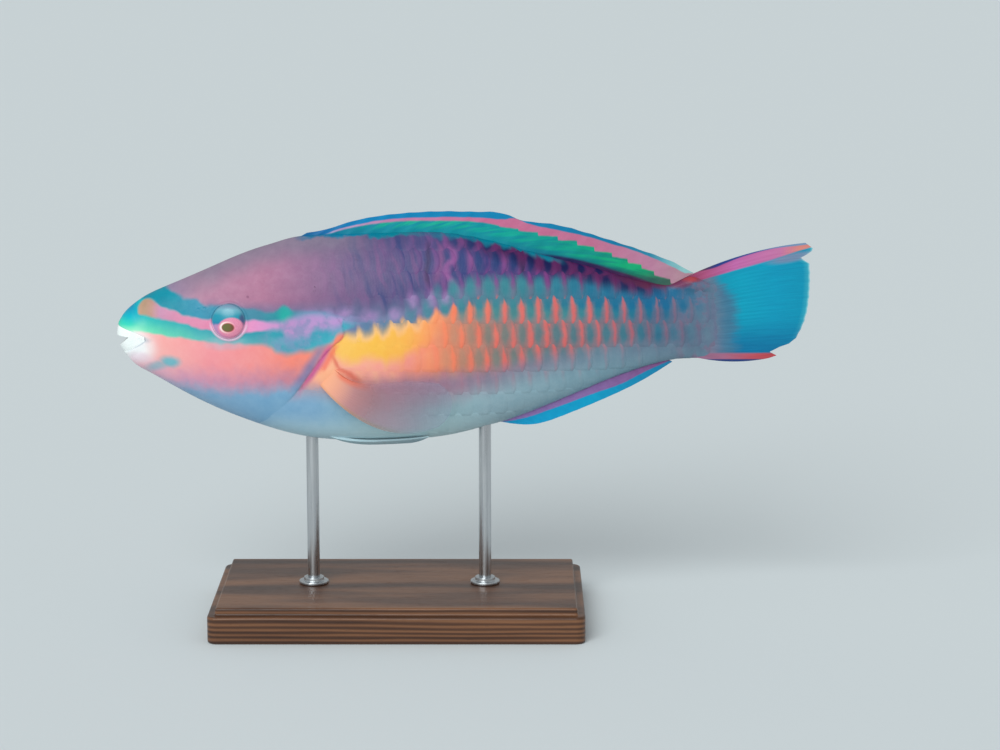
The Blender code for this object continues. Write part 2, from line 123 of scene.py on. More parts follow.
# Fins
FIN_SUNK = 2.5
FIN_ROOT, FIN_MARGIN, MEMBRANE = 1.9, 0.5, 0.75
DORSAL_BASE, DORSAL_RAKE = (67, 217.6), (10, 14)
DORSAL_MARGIN = (
    (77, 39.5), (81.4, 40.2), (86.2, 41.3), (92.2, 43.3), (98.2, 44.9), (110.2, 46.9), (120.6, 47.8),
    (134, 48.2), (146, 48), (156.5, 47), (161.5, 45), (172.5, 43.4), (188.1, 39.8), (202, 35.4),
    (217, 30.3), (224.5, 27.2), (231.6, 23.2)
)
ANAL_BASE, ANAL_RAKE = (149.5, 219.5), (9, 4)
ANAL_MARGIN = ((158.5, -38.3), (167, -38.7), (180, -34.9), (199, -26.8), (212, -20.2), (223.5, -12.9))
TAIL_ROOT, TAIL_BOW = ((221.5, 17.9), (230, -10.3)), (3, -1.9)
TAIL_MARGIN = (  # share from the top ray to the bottom one, aft, up
    (0, 276.2, 35.4), (0.03, 279.4, 33.3), (0.05, 279, 32.2), (0.075, 276.4, 30.5), (0.09, 274.6, 29.5),
    (0.11, 275.8, 28.5), (0.135, 278, 27.1), (0.2, 278.3, 24.1), (0.3, 278.4, 19.6), (0.42, 278.2, 14),
    (0.55, 277.6, 8.2), (0.65, 276.4, 3.6), (0.72, 275, 0.2), (0.79, 273.2, -3.2), (0.84, 270.6, -5.4),
    (0.885, 267, -6.7), (0.93, 262.6, -8.9), (0.965, 265.6, -10.3), (1, 262.4, -11.4)
)
PECTORAL_ROOT = ((82.3, -18.6), (87.4, -11.4))
PECTORAL_MARGIN = (
    (0, 127.2, -35.5), (0.12, 129.9, -34.5), (0.25, 132.3, -32.5), (0.42, 134.4, -29.4),
    (0.6, 135.3, -25.5), (0.75, 134.9, -22.2), (0.88, 133, -19.3), (1, 130.4, -17.2)
)
PECTORAL_BOW, PECTORAL_LEAN = (-8, -4.6), 3  # the innermost ray arches close to its root
PECTORAL_SUNK, PECTORAL_FLARE = 1.5, 7.5
PELVIC_OUTER_RAY, PELVIC_INNER_RAY = ((85, 6.2), (125.5, 7.2)), ((88, 3.2), (118, 3))
PELVIC_SUNK, PELVIC_DROP, PELVIC_THICKNESS = 1.6, 1.2, 1.2

# How proud the skin stands where the fins grow, and over what length and width
PECTORAL_PAD = ((85.5, -14.5), (5, 7), 0.9)
DORSAL_PAD, DORSAL_PAD_WIDTH = 0.7, 2.4
ANAL_PAD, ANAL_PAD_WIDTH = 0.6, 2.2
STALK_PAD, STALK_PAD_AFT, STALK_PAD_LENGTH, STALK_PAD_WIDTH = 4.4, 230.5, 6.5, 2.6

# The stand
STAND_LENGTH, STAND_WIDTH, STAND_HEIGHT = 150, 84, 14
ROD_RADIUS, ROD_HOLE_DEPTH = 2.5, 9
ROD_AFT = {"front": 78, "rear": 148}
COLLAR_RADIUS, FLANGE_HEIGHT, FLANGE_WIDTH, NECK_HEIGHT = 6, 1.2, 1.9, 1.5
ROD_ROUNDING, COLLAR_ROUNDING = 0.4, 0.3
GAP = 0.3  # between a rod and what holds it
BASE_CORNER, BASE_STEP, BASE_INSET, BASE_ROUNDING = 4, 3, 3.2, 0.9
BASE_UNCUT, BASE_CUT_STEP = 8, 5  # cuts across the base: none this near its edges, then about this far apart


# Curves and the body's surface


def smooth_curve(points):
    """The natural cubic spline through (position, value) points, as a function of position."""
    x, y = np.array(points, float).T
    step = np.diff(x)
    bend = np.zeros(len(x))
    rows = np.diag(2 * (step[:-1] + step[1:])) + np.diag(step[1:-1], 1) + np.diag(step[1:-1], -1)
    bend[1:-1] = np.linalg.solve(rows, 6 * np.diff(np.diff(y) / step))

    def at(position):
        i = np.clip(np.searchsorted(x, position) - 1, 0, len(step) - 1)
        before, past, h = x[i + 1] - position, position - x[i], step[i]
        curved = (bend[i] * before**3 + bend[i + 1] * past**3) / (6 * h)
        return curved + (y[i] / h - bend[i] * h / 6) * before + (y[i + 1] / h - bend[i + 1] * h / 6) * past

    return at


def straight_line(points):
    """The line through (position, value) points with corners, as a function of position."""
    positions, values = zip(*points)
    return lambda position: np.interp(position, positions, values)


def station_of(aft):
    return np.sqrt(np.clip(aft, 0, BODY_LENGTH) / BODY_LENGTH)


BACK, BELLY, HALF_WIDTH = (
    smooth_curve([(station_of(line[0]), line[column]) for line in BODY_LINES]) for column in (1, 2, 3)
)
GILL_AFT = smooth_curve(GILL_LINE)


def tail_thinning(aft):
    """The share of its width that the body keeps where it runs out into the tail fin."""
    return 1 - 0.5 * rise(aft, 226, BODY_LENGTH)


def body_points(aft, angle, grow=0):
    """Points (aft, out, up) on the body; angle runs from the back, 0, down the right flank to the belly."""
    station = station_of(aft)
    back, belly = BACK(station) + grow, BELLY(station) - grow
    widest = belly + (back - belly) * WIDEST
    depth = np.where(np.cos(angle) > 0, back - widest, widest - belly)
    keel = np.where(np.cos(angle) > 0, BACK_KEEL, BELLY_KEEL)
    half_width = np.maximum(HALF_WIDTH(station) * tail_thinning(aft) + grow, 0)
    out = np.sign(np.sin(angle)) * np.abs(np.sin(angle)) ** keel * half_width
    return np.stack([aft + grow * (2 * station - 1), out, widest + depth * np.cos(angle)], axis=-1)


def flank_out(aft, up):
    """Half the body's width at this station and height."""
    station = station_of(aft)
    back, belly = BACK(station), BELLY(station)
    widest = belly + (back - belly) * WIDEST
    room = np.where(up > widest, back - widest + 1e-9, widest - belly + 1e-9)
    share = (up - widest) / room
    keel = np.where(up > widest, BACK_KEEL, BELLY_KEEL)
    return HALF_WIDTH(station) * np.maximum(1 - share**2, 0) ** (keel / 2)


def underside_up(aft, out):
    """The height of the belly's surface this far from the middle plane."""
    station = station_of(aft)
    belly = BELLY(station)
    widest = belly + (BACK(station) - belly) * WIDEST
    sine = (np.abs(out) / HALF_WIDTH(station)) ** (1 / BELLY_KEEL)
    return widest - (widest - belly) * np.sqrt(1 - sine**2)


def rise(value, low, high):
    """0 below low, 1 above high, smooth between."""
    share = np.clip((value - low) / (high - low), 0, 1)
    return share * share * (3 - 2 * share)


def bell(value, width):
    return np.exp(-((value / width) ** 2))


def between(first, last, share):
    return first + (last - first) * share


def spread(steps):
    """Positions from the first to the last of (position, step), as close together as the steps say."""
    positions, gaps = zip(*steps)
    fine = np.linspace(positions[0], positions[-1], 4000)
    density = 1 / np.interp(fine, positions, gaps)
    count = np.concatenate([[0], np.cumsum((density[1:] + density[:-1]) / 2 * np.diff(fine))])
    return np.interp(np.linspace(0, count[-1], round(count[-1]) + 1), count, fine)


# Handling meshes


def in_scene(points):
    """Points (aft, out, up) in millimetres as places in the scene, in metres."""
    return (np.asarray(points) + (SNOUT_X, 0, AXIS_HEIGHT)) * MM


def points_of(mesh):
    found = np.empty(len(mesh.vertices) * 3)
    mesh.vertices.foreach_get("co", found)
    return found.reshape(-1, 3)


def put_points(mesh, points):
    mesh.vertices.foreach_set("co", np.ascontiguousarray(points, dtype=np.float32).ravel())
    mesh.update()


def normals_of(mesh):
    found = np.empty(len(mesh.vertices) * 3)
    mesh.vertex_normals.foreach_get("vector", found)
    return found.reshape(-1, 3)


def take(piece):
    """Selects one piece alone."""
    bpy.ops.object.select_all(action="DESELECT")
    piece.select_set(True)
    bpy.context.view_layer.objects.active = piece


def start(name, add, **options):
    """Adds a primitive with nothing else selected, named, and returns its object."""
    bpy.ops.object.select_all(action="DESELECT")
    add(**options)
    piece = bpy.context.object
    piece.name = piece.data.name = name
    return piece


def edit(piece, kind="FACE", test=None):
    """Opens a piece's mesh with nothing selected, or with the faces or edges that pass the test."""
    take(piece)
    bpy.ops.object.mode_set(mode="EDIT")
    bpy.ops.mesh.select_mode(type=kind)
    bpy.ops.mesh.select_all(action="DESELECT")
    if test:
        close()
        for item in piece.data.edges if kind == "EDGE" else piece.data.polygons:
            item.select = test(item)
        bpy.ops.object.mode_set(mode="EDIT")


def close():
    bpy.ops.object.mode_set(mode="OBJECT")


def apply(piece, kind, **settings):
    """Adds a modifier and applies it."""
    take(piece)
    added = piece.modifiers.new(kind.lower(), kind)
    for name, value in settings.items():
        setattr(added, name, value)
    bpy.ops.object.modifier_apply(modifier=added.name)


def settle(piece):
    """Puts a piece's place, turn and size into its mesh."""
    take(piece)
    bpy.ops.object.transform_apply(location=True, rotation=True, scale=True)


def smooth(piece, angle=180):
    """Smooth shading, with every edge that is sharper than the angle left sharp."""
    take(piece)
    if angle == 180:
        bpy.ops.object.shade_smooth()
    else:
        bpy.ops.object.shade_smooth_by_angle(angle=math.radians(angle))


def face_outwards(piece):
    edit(piece)
    bpy.ops.mesh.select_all(action="SELECT")
    bpy.ops.mesh.normals_make_consistent(inside=False)
    close()


def hand_over(piece, finish, slot, *nodes):
    """Gives a finished piece its material and its place in the frame."""
    piece.data.materials.clear()
    piece.data.materials.append(finish)
    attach(piece, "root")
    if nodes:
        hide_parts(*nodes)


# Paint


def paint(red, green, blue):
    """An 8-bit screen colour as the shader's own numbers."""
    shares = (red / 255, green / 255, blue / 255)
    return (*(s / 12.92 if s <= 0.04045 else ((s + 0.055) / 1.055) ** 2.4 for s in shares), 1)


class Value:
    """A number or colour that varies over a surface. Sums on it add Math nodes."""

    def __init__(self, recipe, socket):
        self.recipe, self.socket = recipe, socket

    def maths(self, operation, *others):
        values = dict(enumerate((self, *others)))
        return self.recipe.node("ShaderNodeMath", {"operation": operation}, values)

    def __rsub__(self, other):
        return self.recipe.node("ShaderNodeMath", {"operation": "SUBTRACT"}, {0: other, 1: self})

    def __add__(self, other):
        return self.maths("ADD", other)

    def __sub__(self, other):
        return self.maths("SUBTRACT", other)

    def __mul__(self, other):
        return self.maths("MULTIPLY", other)

    def __truediv__(self, other):
        return self.maths("DIVIDE", other)

    def __pow__(self, other):
        return self.maths("POWER", other)

    def __abs__(self):
        return self.maths("ABSOLUTE")

    __radd__, __rmul__ = __add__, __mul__

    def rise(self, low, high):
        """0 below low, 1 above high, smooth between; it falls where low is the higher of the two."""
        settings = {"interpolation_type": "SMOOTHSTEP"}
        values = {"Value": self, "From Min": low, "From Max": high}
        return self.recipe.node("ShaderNodeMapRange", settings, values)

    def span(self, start, full, end, gone):
        """0 below start, 1 from full to end, and 0 again above gone."""
        return self.rise(start, full) * self.rise(gone, end)

    def over(self, edge, soft):
        """1 where it is over edge, 0 under it, with a soft change."""
        half = soft * 0.5
        return (self - edge).rise(half * -1, half)

    def bell(self, width):
        """1 at zero, falling smoothly to 0 at width to either side."""
        return abs(self).rise(width, 0)

    def line(self, points):
        """The smooth line through (position, value) points, read at this position."""
        positions, values = zip(*points)
        first, last = positions[0], positions[-1]
        room = (max(values) - min(values)) * 0.1 + 0.1
        low, high = min(values) - room, max(values) + room
        marks = [((x - first) / (last - first), (y - low) / (high - low)) for x, y in points]
        share = (self - first) / (last - first)
        curve = self.recipe.node("ShaderNodeFloatCurve", {"points": marks}, {"Value": share})
        return curve * (high - low) + low

    def shades(self, stops):
        """Colours that change along it: stops are (position, red, green, blue)."""
        first, last = stops[0][0], stops[-1][0]
        marks = [((position - first) / (last - first), paint(*colour)) for position, *colour in stops]
        share = (self - first) / (last - first)
        return self.recipe.node("ShaderNodeValToRGB", {"stops": marks}, {"Fac": share}, "Color")

    def lay(self, shade, share, blend="MIX"):
        """This colour with another one laid over it, as far as share says."""
        return self.recipe.mix(self, shade, share, blend)


def spot(aft, up, place, size, soft=0.35):
    """1 inside an oval at (aft, up) with half sizes, 0 outside it."""
    across, tall = (aft - place[0]) / size[0], (up - place[1]) / size[1]
    return ((across * across + tall * tall) ** 0.5).rise(1 + soft, 1 - soft)


class Recipe:
    """One material while it is being mixed."""

    def __init__(self, name, **constants):
        self.material = bpy.data.materials.new(name)
        self.material.use_nodes = True
        self.tree = self.material.node_tree
        self.shader = self.tree.nodes["Principled BSDF"]
        for socket, value in constants.items():
            self.shader.inputs[socket.replace("_", " ").title().replace("Ior", "IOR")].default_value = value

    def node(self, kind, settings, values, output=0):
        """Adds a node, sets it up, feeds its sockets and returns one output as a Value."""
        added = self.tree.nodes.new(kind)
        for name, setting in settings.items():
            if name == "stops":
                self.set_stops(added.color_ramp.elements, setting)
            elif name == "points":
                self.set_points(added.mapping, setting)
            else:
                setattr(added, name, setting)
        for socket, value in values.items():
            if isinstance(value, Value):
                self.tree.links.new(value.socket, added.inputs[socket])
            else:
                added.inputs[socket].default_value = value
        return Value(self, added.outputs[output])

    @staticmethod
    def set_stops(elements, stops):
        while len(elements) < len(stops):
            elements.new(1)
        for element, (position, colour) in zip(elements, stops, strict=True):
            element.position = position
            element.color = colour

    @staticmethod
    def set_points(mapping, points):
        mapping.extend = "HORIZONTAL"
        curve = mapping.curves[0]
        for position, value in points[1:-1]:
            curve.points.new(position, value)
        curve.points[0].location = points[0]
        curve.points[-1].location = points[-1]
        mapping.update()

    def place(self):
        """aft, out and up in millimetres, and the three as one vector."""
        here = self.node("ShaderNodeTexCoord", {}, {}, "Object")
        scaled = {"Vector": here, "Location": (-SNOUT_X, 0, -AXIS_HEIGHT), "Scale": (1 / MM, 1 / MM, 1 / MM)}
        vector = self.node("ShaderNodeMapping", {}, scaled)
        return (*self.parts(vector, "XYZ"), vector)

    def parts(self, vector, axes):
        return [self.node("ShaderNodeSeparateXYZ", {}, {0: vector}, axis) for axis in axes]

    def map_parts(self, name):
        """The two numbers of one of the piece's own maps."""
        return self.parts(self.node("ShaderNodeUVMap", {"uv_map": name}, {}, "UV"), "XY")

    def join(self, *parts):
        return self.node("ShaderNodeCombineXYZ", {}, dict(enumerate(parts)))

    def mix(self, first, second, share, blend="MIX"):
        """Colours mixed; each is a Value or an 8-bit colour."""
        first, second = (c if isinstance(c, Value) else paint(*c) for c in (first, second))
        settings = {"data_type": "RGBA", "blend_type": blend, "clamp_factor": True}
        return self.node("ShaderNodeMix", settings, {0: share, 6: first, 7: second}, 2)

    def noise(self, vector, scale, detail=2, roughness=0.5, stretch=None):
        if stretch:
            vector = self.node("ShaderNodeMapping", {}, {"Vector": vector, "Scale": stretch})
        values = {"Vector": vector, "Scale": scale, "Detail": detail, "Roughness": roughness}
        return self.node("ShaderNodeTexNoise", {}, values)

    def read(self, name):
        return self.node("ShaderNodeAttribute", {"attribute_name": name}, {}, "Fac")

    def feed(self, socket, value):
        self.tree.links.new(value.socket, self.shader.inputs[socket])

    def finished(self, colour, height, distance, strength):
        """Feeds the shader its colour, and its normal from a height in millimetres."""
        self.feed("Base Color", colour)
        values = {"Height": height, "Distance": distance * MM, "Strength": strength}
        self.feed("Normal", self.node("ShaderNodeBump", {}, values))
        return self.material


# The markings of the body, shared by skin and scales

UPPER_TEAL_TOP = (
    (15, 20), (21.1, 17.9), (27.4, 14.6), (33.2, 13.8), (39.1, 12), (46, 13), (53.4, 11), (58, 10.8),
    (62.4, 9.9), (66, 11), (69.4, 12.6), (73, 10.4), (78.7, 10.8), (92, 8.5)
)
PINK_TOP = (
    (8, 13.2), (15.2, 12.7), (18.4, 11.3), (24.8, 9.3), (31.4, 7.3), (39.1, 7), (46.2, 6.6), (58.5, 6.4),
    (63.1, 6), (71.5, 7.7), (79.9, 9.4), (92, 9)
)
PINK_BOTTOM = (
    (7, 10.2), (9.4, 8), (12.2, 7.4), (17.7, 6.6), (21.7, 5.6), (27.5, 5.2), (30.2, 4.6), (33, 3),
    (38.7, 2.6), (46.1, 1), (53.5, 1.9), (60, 2.8), (66.1, 3.1), (69.5, 0.9), (74.5, 0), (78, 0.6),
    (81.4, 3.4), (87.4, 4), (92, 7)
)
LOWER_TEAL_BOTTOM = (
    (10, 1.4), (17.7, 0.3), (25.5, -0.9), (33.2, -1.8), (40.9, -2.7), (52.5, -2.9), (59.5, -3), (63, -3.8),
    (68.3, -6.6), (75.9, -5.8), (83.2, -3.9), (88, -1.6), (92, 2.4), (104, 2)
)
CHEEK_BOTTOM = ((5.9, -14), (13.9, -18), (21.9, -20), (34, -21.5), (46.2, -22), (62, -21), (80, -18))
GILL_STRIPE = ((-27, 71.8), (-22.2, 74.9), (-17.4, 78.2), (-13, 81), (-7.7, 84.2), (-4, 86.6))  # up, aft
BACK_BOTTOM = (
    (75, 11.5), (90, 11.8), (100, 11.6), (110, 12.4), (122, 16.2), (134, 19.6), (146, 21.8), (170, 21.6),
    (186, 20.4), (198, 19.2), (210, 17.9), (220, 17.2), (230, 19.6), (236, 24)
)
ROW_TEAL_BOTTOM = (
    (85, 0.6), (93, 1.6), (101, 2.4), (110, 4), (119, 6), (126.4, 8), (134, 10.2), (142, 12.4), (154, 12.8),
    (178, 12.2), (202, 11.4), (236, 10)
)
YELLOW_BOTTOM = ((80, -7.6), (88.8, -8), (94, -9.2), (102.6, -8.6), (110.3, -9.2), (120.8, -5), (130, 1))
CREST = (
    (10, 13.2), (23, 19.2), (39, 26.1), (54, 32.5), (75.5, 37.9), (94, 38.8), (120, 39.3), (134, 39),
    (154, 35.1), (174, 29.5), (194.5, 24.4), (216, 19.6), (224, 19.4), (232, 21.6), (244, 25)
)
ORANGE_BOTTOM = (
    (84, -19), (98, -18), (120, -15.6), (146, -13.8), (170, -9.6), (194, -6.2), (214, -4.2), (240, -5)
)
MAUVE_BOTTOM = ((84, -22), (108, -26), (130, -26), (146, -22), (162, -17.5), (194, -11), (240, -8))
BACK_STREAKS = (  # (up, aft) points of a line, half its width, its colour and strength
    (
        ((19, 135.6), (22.4, 134), (25.8, 132.6), (29, 134.6), (31.6, 136.4), (34.6, 134.6), (37.4, 132.2)),
        (2.9, (162, 98, 160), 0.8)
    ),
    (((20, 125.6), (25, 125.2), (32, 125.8), (38, 124)), (1.7, (76, 58, 98), 0.65)),
    (((20, 129), (26, 129.6), (31, 131), (38, 127)), (2.2, (154, 92, 146), 0.6)),
    (((21, 139.4), (27, 139.8), (36, 138.6)), (2.4, (58, 76, 134), 0.75)),
    (((25, 148), (29, 148.6), (34, 147.6)), (2, (36, 62, 124), 0.75)),
    (((23, 162.6), (27, 162.8), (31, 161.8)), (2.2, (44, 44, 84), 0.8))
)
LILAC_SPOTS = (  # aft, up, half length, half height
    (79, 9, 3, 2.2), (86, 9, 2.6, 2.2), (92.4, 9.6, 3.2, 2.2), (102.4, 8.8, 3.4, 2.2),
    (112.4, 9.4, 1.9, 2.4), (119.6, 15.4, 2, 2.6), (126.8, 15.2, 1.5, 3.2), (132.8, 15.8, 1.2, 2.4)
)
# The line along the pectoral fin's upper root edge, where a shadow is painted on the body
FIN_ROOT_SHADOW = ((86, -6.4), (88.5, -9.6), (92.5, -13.8), (97.6, -17.2), (101, -18.4))


def head_colours(aft, up, cloud):
    """The face below the nape: two teal stripes with a pink one between, a salmon cheek and a white mouth."""
    cheek = aft.shades((
        (10, 250, 214, 212), (20, 252, 186, 182), (40, 248, 166, 172), (58, 248, 162, 160),
        (72, 250, 152, 134), (90, 248, 146, 120)
    ))
    low_cheek = aft.shades((
        (8, 246, 200, 210), (28, 222, 168, 194), (55, 216, 156, 178), (72, 208, 146, 164),
        (84, 180, 132, 162)
    ))
    throat = aft.shades((
        (5, 226, 200, 214), (16, 190, 186, 212), (28, 150, 184, 212), (60, 138, 182, 212),
        (90, 142, 184, 210)
    ))
    fade = aft.line(CHEEK_BOTTOM) + cloud * 7
    face = throat.lay(low_cheek, up.over(fade, 8))
    face = face.lay(cheek, up.over(fade + 6.5, 10))
    patch = spot(aft, up, (22.4, -10.9), (3.6, 2.5), 0.6) * 0.9
    trail = spot(aft, up - (aft - 17.6) * 0.3, (17.4, -13), (5.2, 1.9), 0.8) * 0.6
    face = face.lay((112, 196, 208), patch.maths("MAXIMUM", trail))
    face = face.lay((190, 196, 214), spot(aft, up, (45.5, -3.2), (8, 2), 0.6) * 0.35)
    pale = spot(aft, up + (aft - 6) * 0.12, (5.2, -4.8), (9.6, 6.6), 0.45)
    face = face.lay((252, 253, 253), pale * 0.95)
    face = face.lay((240, 212, 226), spot(aft, up, (8.8, -9.8), (5.6, 1.9), 0.7) * 0.5)
    # Painted shade: the white greyed along the lower lip's line
    lip = (up - aft.line(LOWER_LIP) - 0.1).bell(0.8) * aft.rise(13.2, 11.8)
    face = face.lay((196, 204, 214), lip * 0.75)
    # Painted shade in the fold at the mouth's corner
    face = face.lay((176, 188, 200), spot(aft, up + (aft - 11.4) * 0.1, (11.2, -2.3), (2.9, 1), 0.7) * 0.55)
    pink_bottom = aft.line(PINK_BOTTOM)
    pink_top = aft.line(PINK_TOP)
    teal_bottom = aft.line(LOWER_TEAL_BOTTOM)
    low_teal = aft.shades((
        (8, 176, 244, 210), (14, 132, 230, 194), (20, 122, 220, 190), (28, 110, 208, 190),
        (36, 110, 198, 194), (48, 116, 192, 196), (60, 104, 176, 186), (76, 72, 174, 190),
        (90, 80, 188, 200)
    ))
    high_teal = aft.shades((
        (6, 0, 186, 202), (14, 10, 190, 190), (22, 52, 184, 186), (40, 76, 174, 186), (60, 50, 164, 180),
        (90, 72, 174, 194)
    ))
    height = up.rise(teal_bottom - 0.5, pink_bottom + 0.5)
    lower_teal = low_teal.lay(high_teal, height)
    lower_teal = lower_teal.lay((168, 194, 204), spot(aft, up, (44.6, -1.8), (6.4, 1.4), 0.6) * 0.6)
    lower_teal = lower_teal.lay((150, 176, 206), spot(aft, up, (69.5, -1.2), (5, 1.6), 0.7) * 0.5)
    pink = aft.shades((
        (8, 216, 172, 150), (12, 192, 160, 134), (15, 200, 156, 144), (18.5, 208, 152, 182),
        (27, 224, 150, 180), (38, 232, 152, 184), (54, 238, 160, 202), (63, 222, 160, 208),
        (74, 194, 156, 204), (90, 196, 160, 210)
    ))
    upper_teal = aft.shades((
        (8, 0, 142, 172), (15, 0, 150, 170), (24, 10, 152, 172), (34, 60, 154, 182), (46, 84, 156, 180),
        (58, 76, 148, 170), (66, 44, 156, 166), (75, 84, 150, 176), (90, 100, 142, 180)
    ))
    blotched = aft.rise(56, 66) * cloud.rise(-0.08, 0.16) * 0.6
    lower_teal = lower_teal.lay((146, 160, 196), blotched)
    face = face.lay(lower_teal, up.over(teal_bottom, aft.rise(50, 66) * 2 + 1.6))
    blend = aft.rise(58, 72) * 3 + 1.4
    under_top = up.over(pink_top, blend)
    face = face.lay(upper_teal, under_top)
    face = face.lay((26, 180, 168), spot(aft, up, (69.3, 9.4), (2.6, 2.9), 0.7) * 0.85)
    nose = up.shades((
        (-1.6, 250, 254, 252), (0.2, 240, 254, 246), (1.9, 158, 238, 204), (3.8, 66, 216, 192),
        (6.4, 0, 190, 204), (9, 0, 160, 194), (13, 10, 124, 172)
    ))
    face = face.lay(nose, (aft + abs(up - 5) * 0.3).rise(12, 6.5))
    from_middle = up - 9.4
    in_pink = up.over(pink_bottom, blend) * (1 - under_top)
    pink = pink.lay((136, 154, 188), aft.rise(60, 70) * cloud.rise(0.08, -0.16) * 0.65)
    return face.lay(pink, in_pink * (aft - from_middle * from_middle * 0.18).rise(8.6, 10.2))


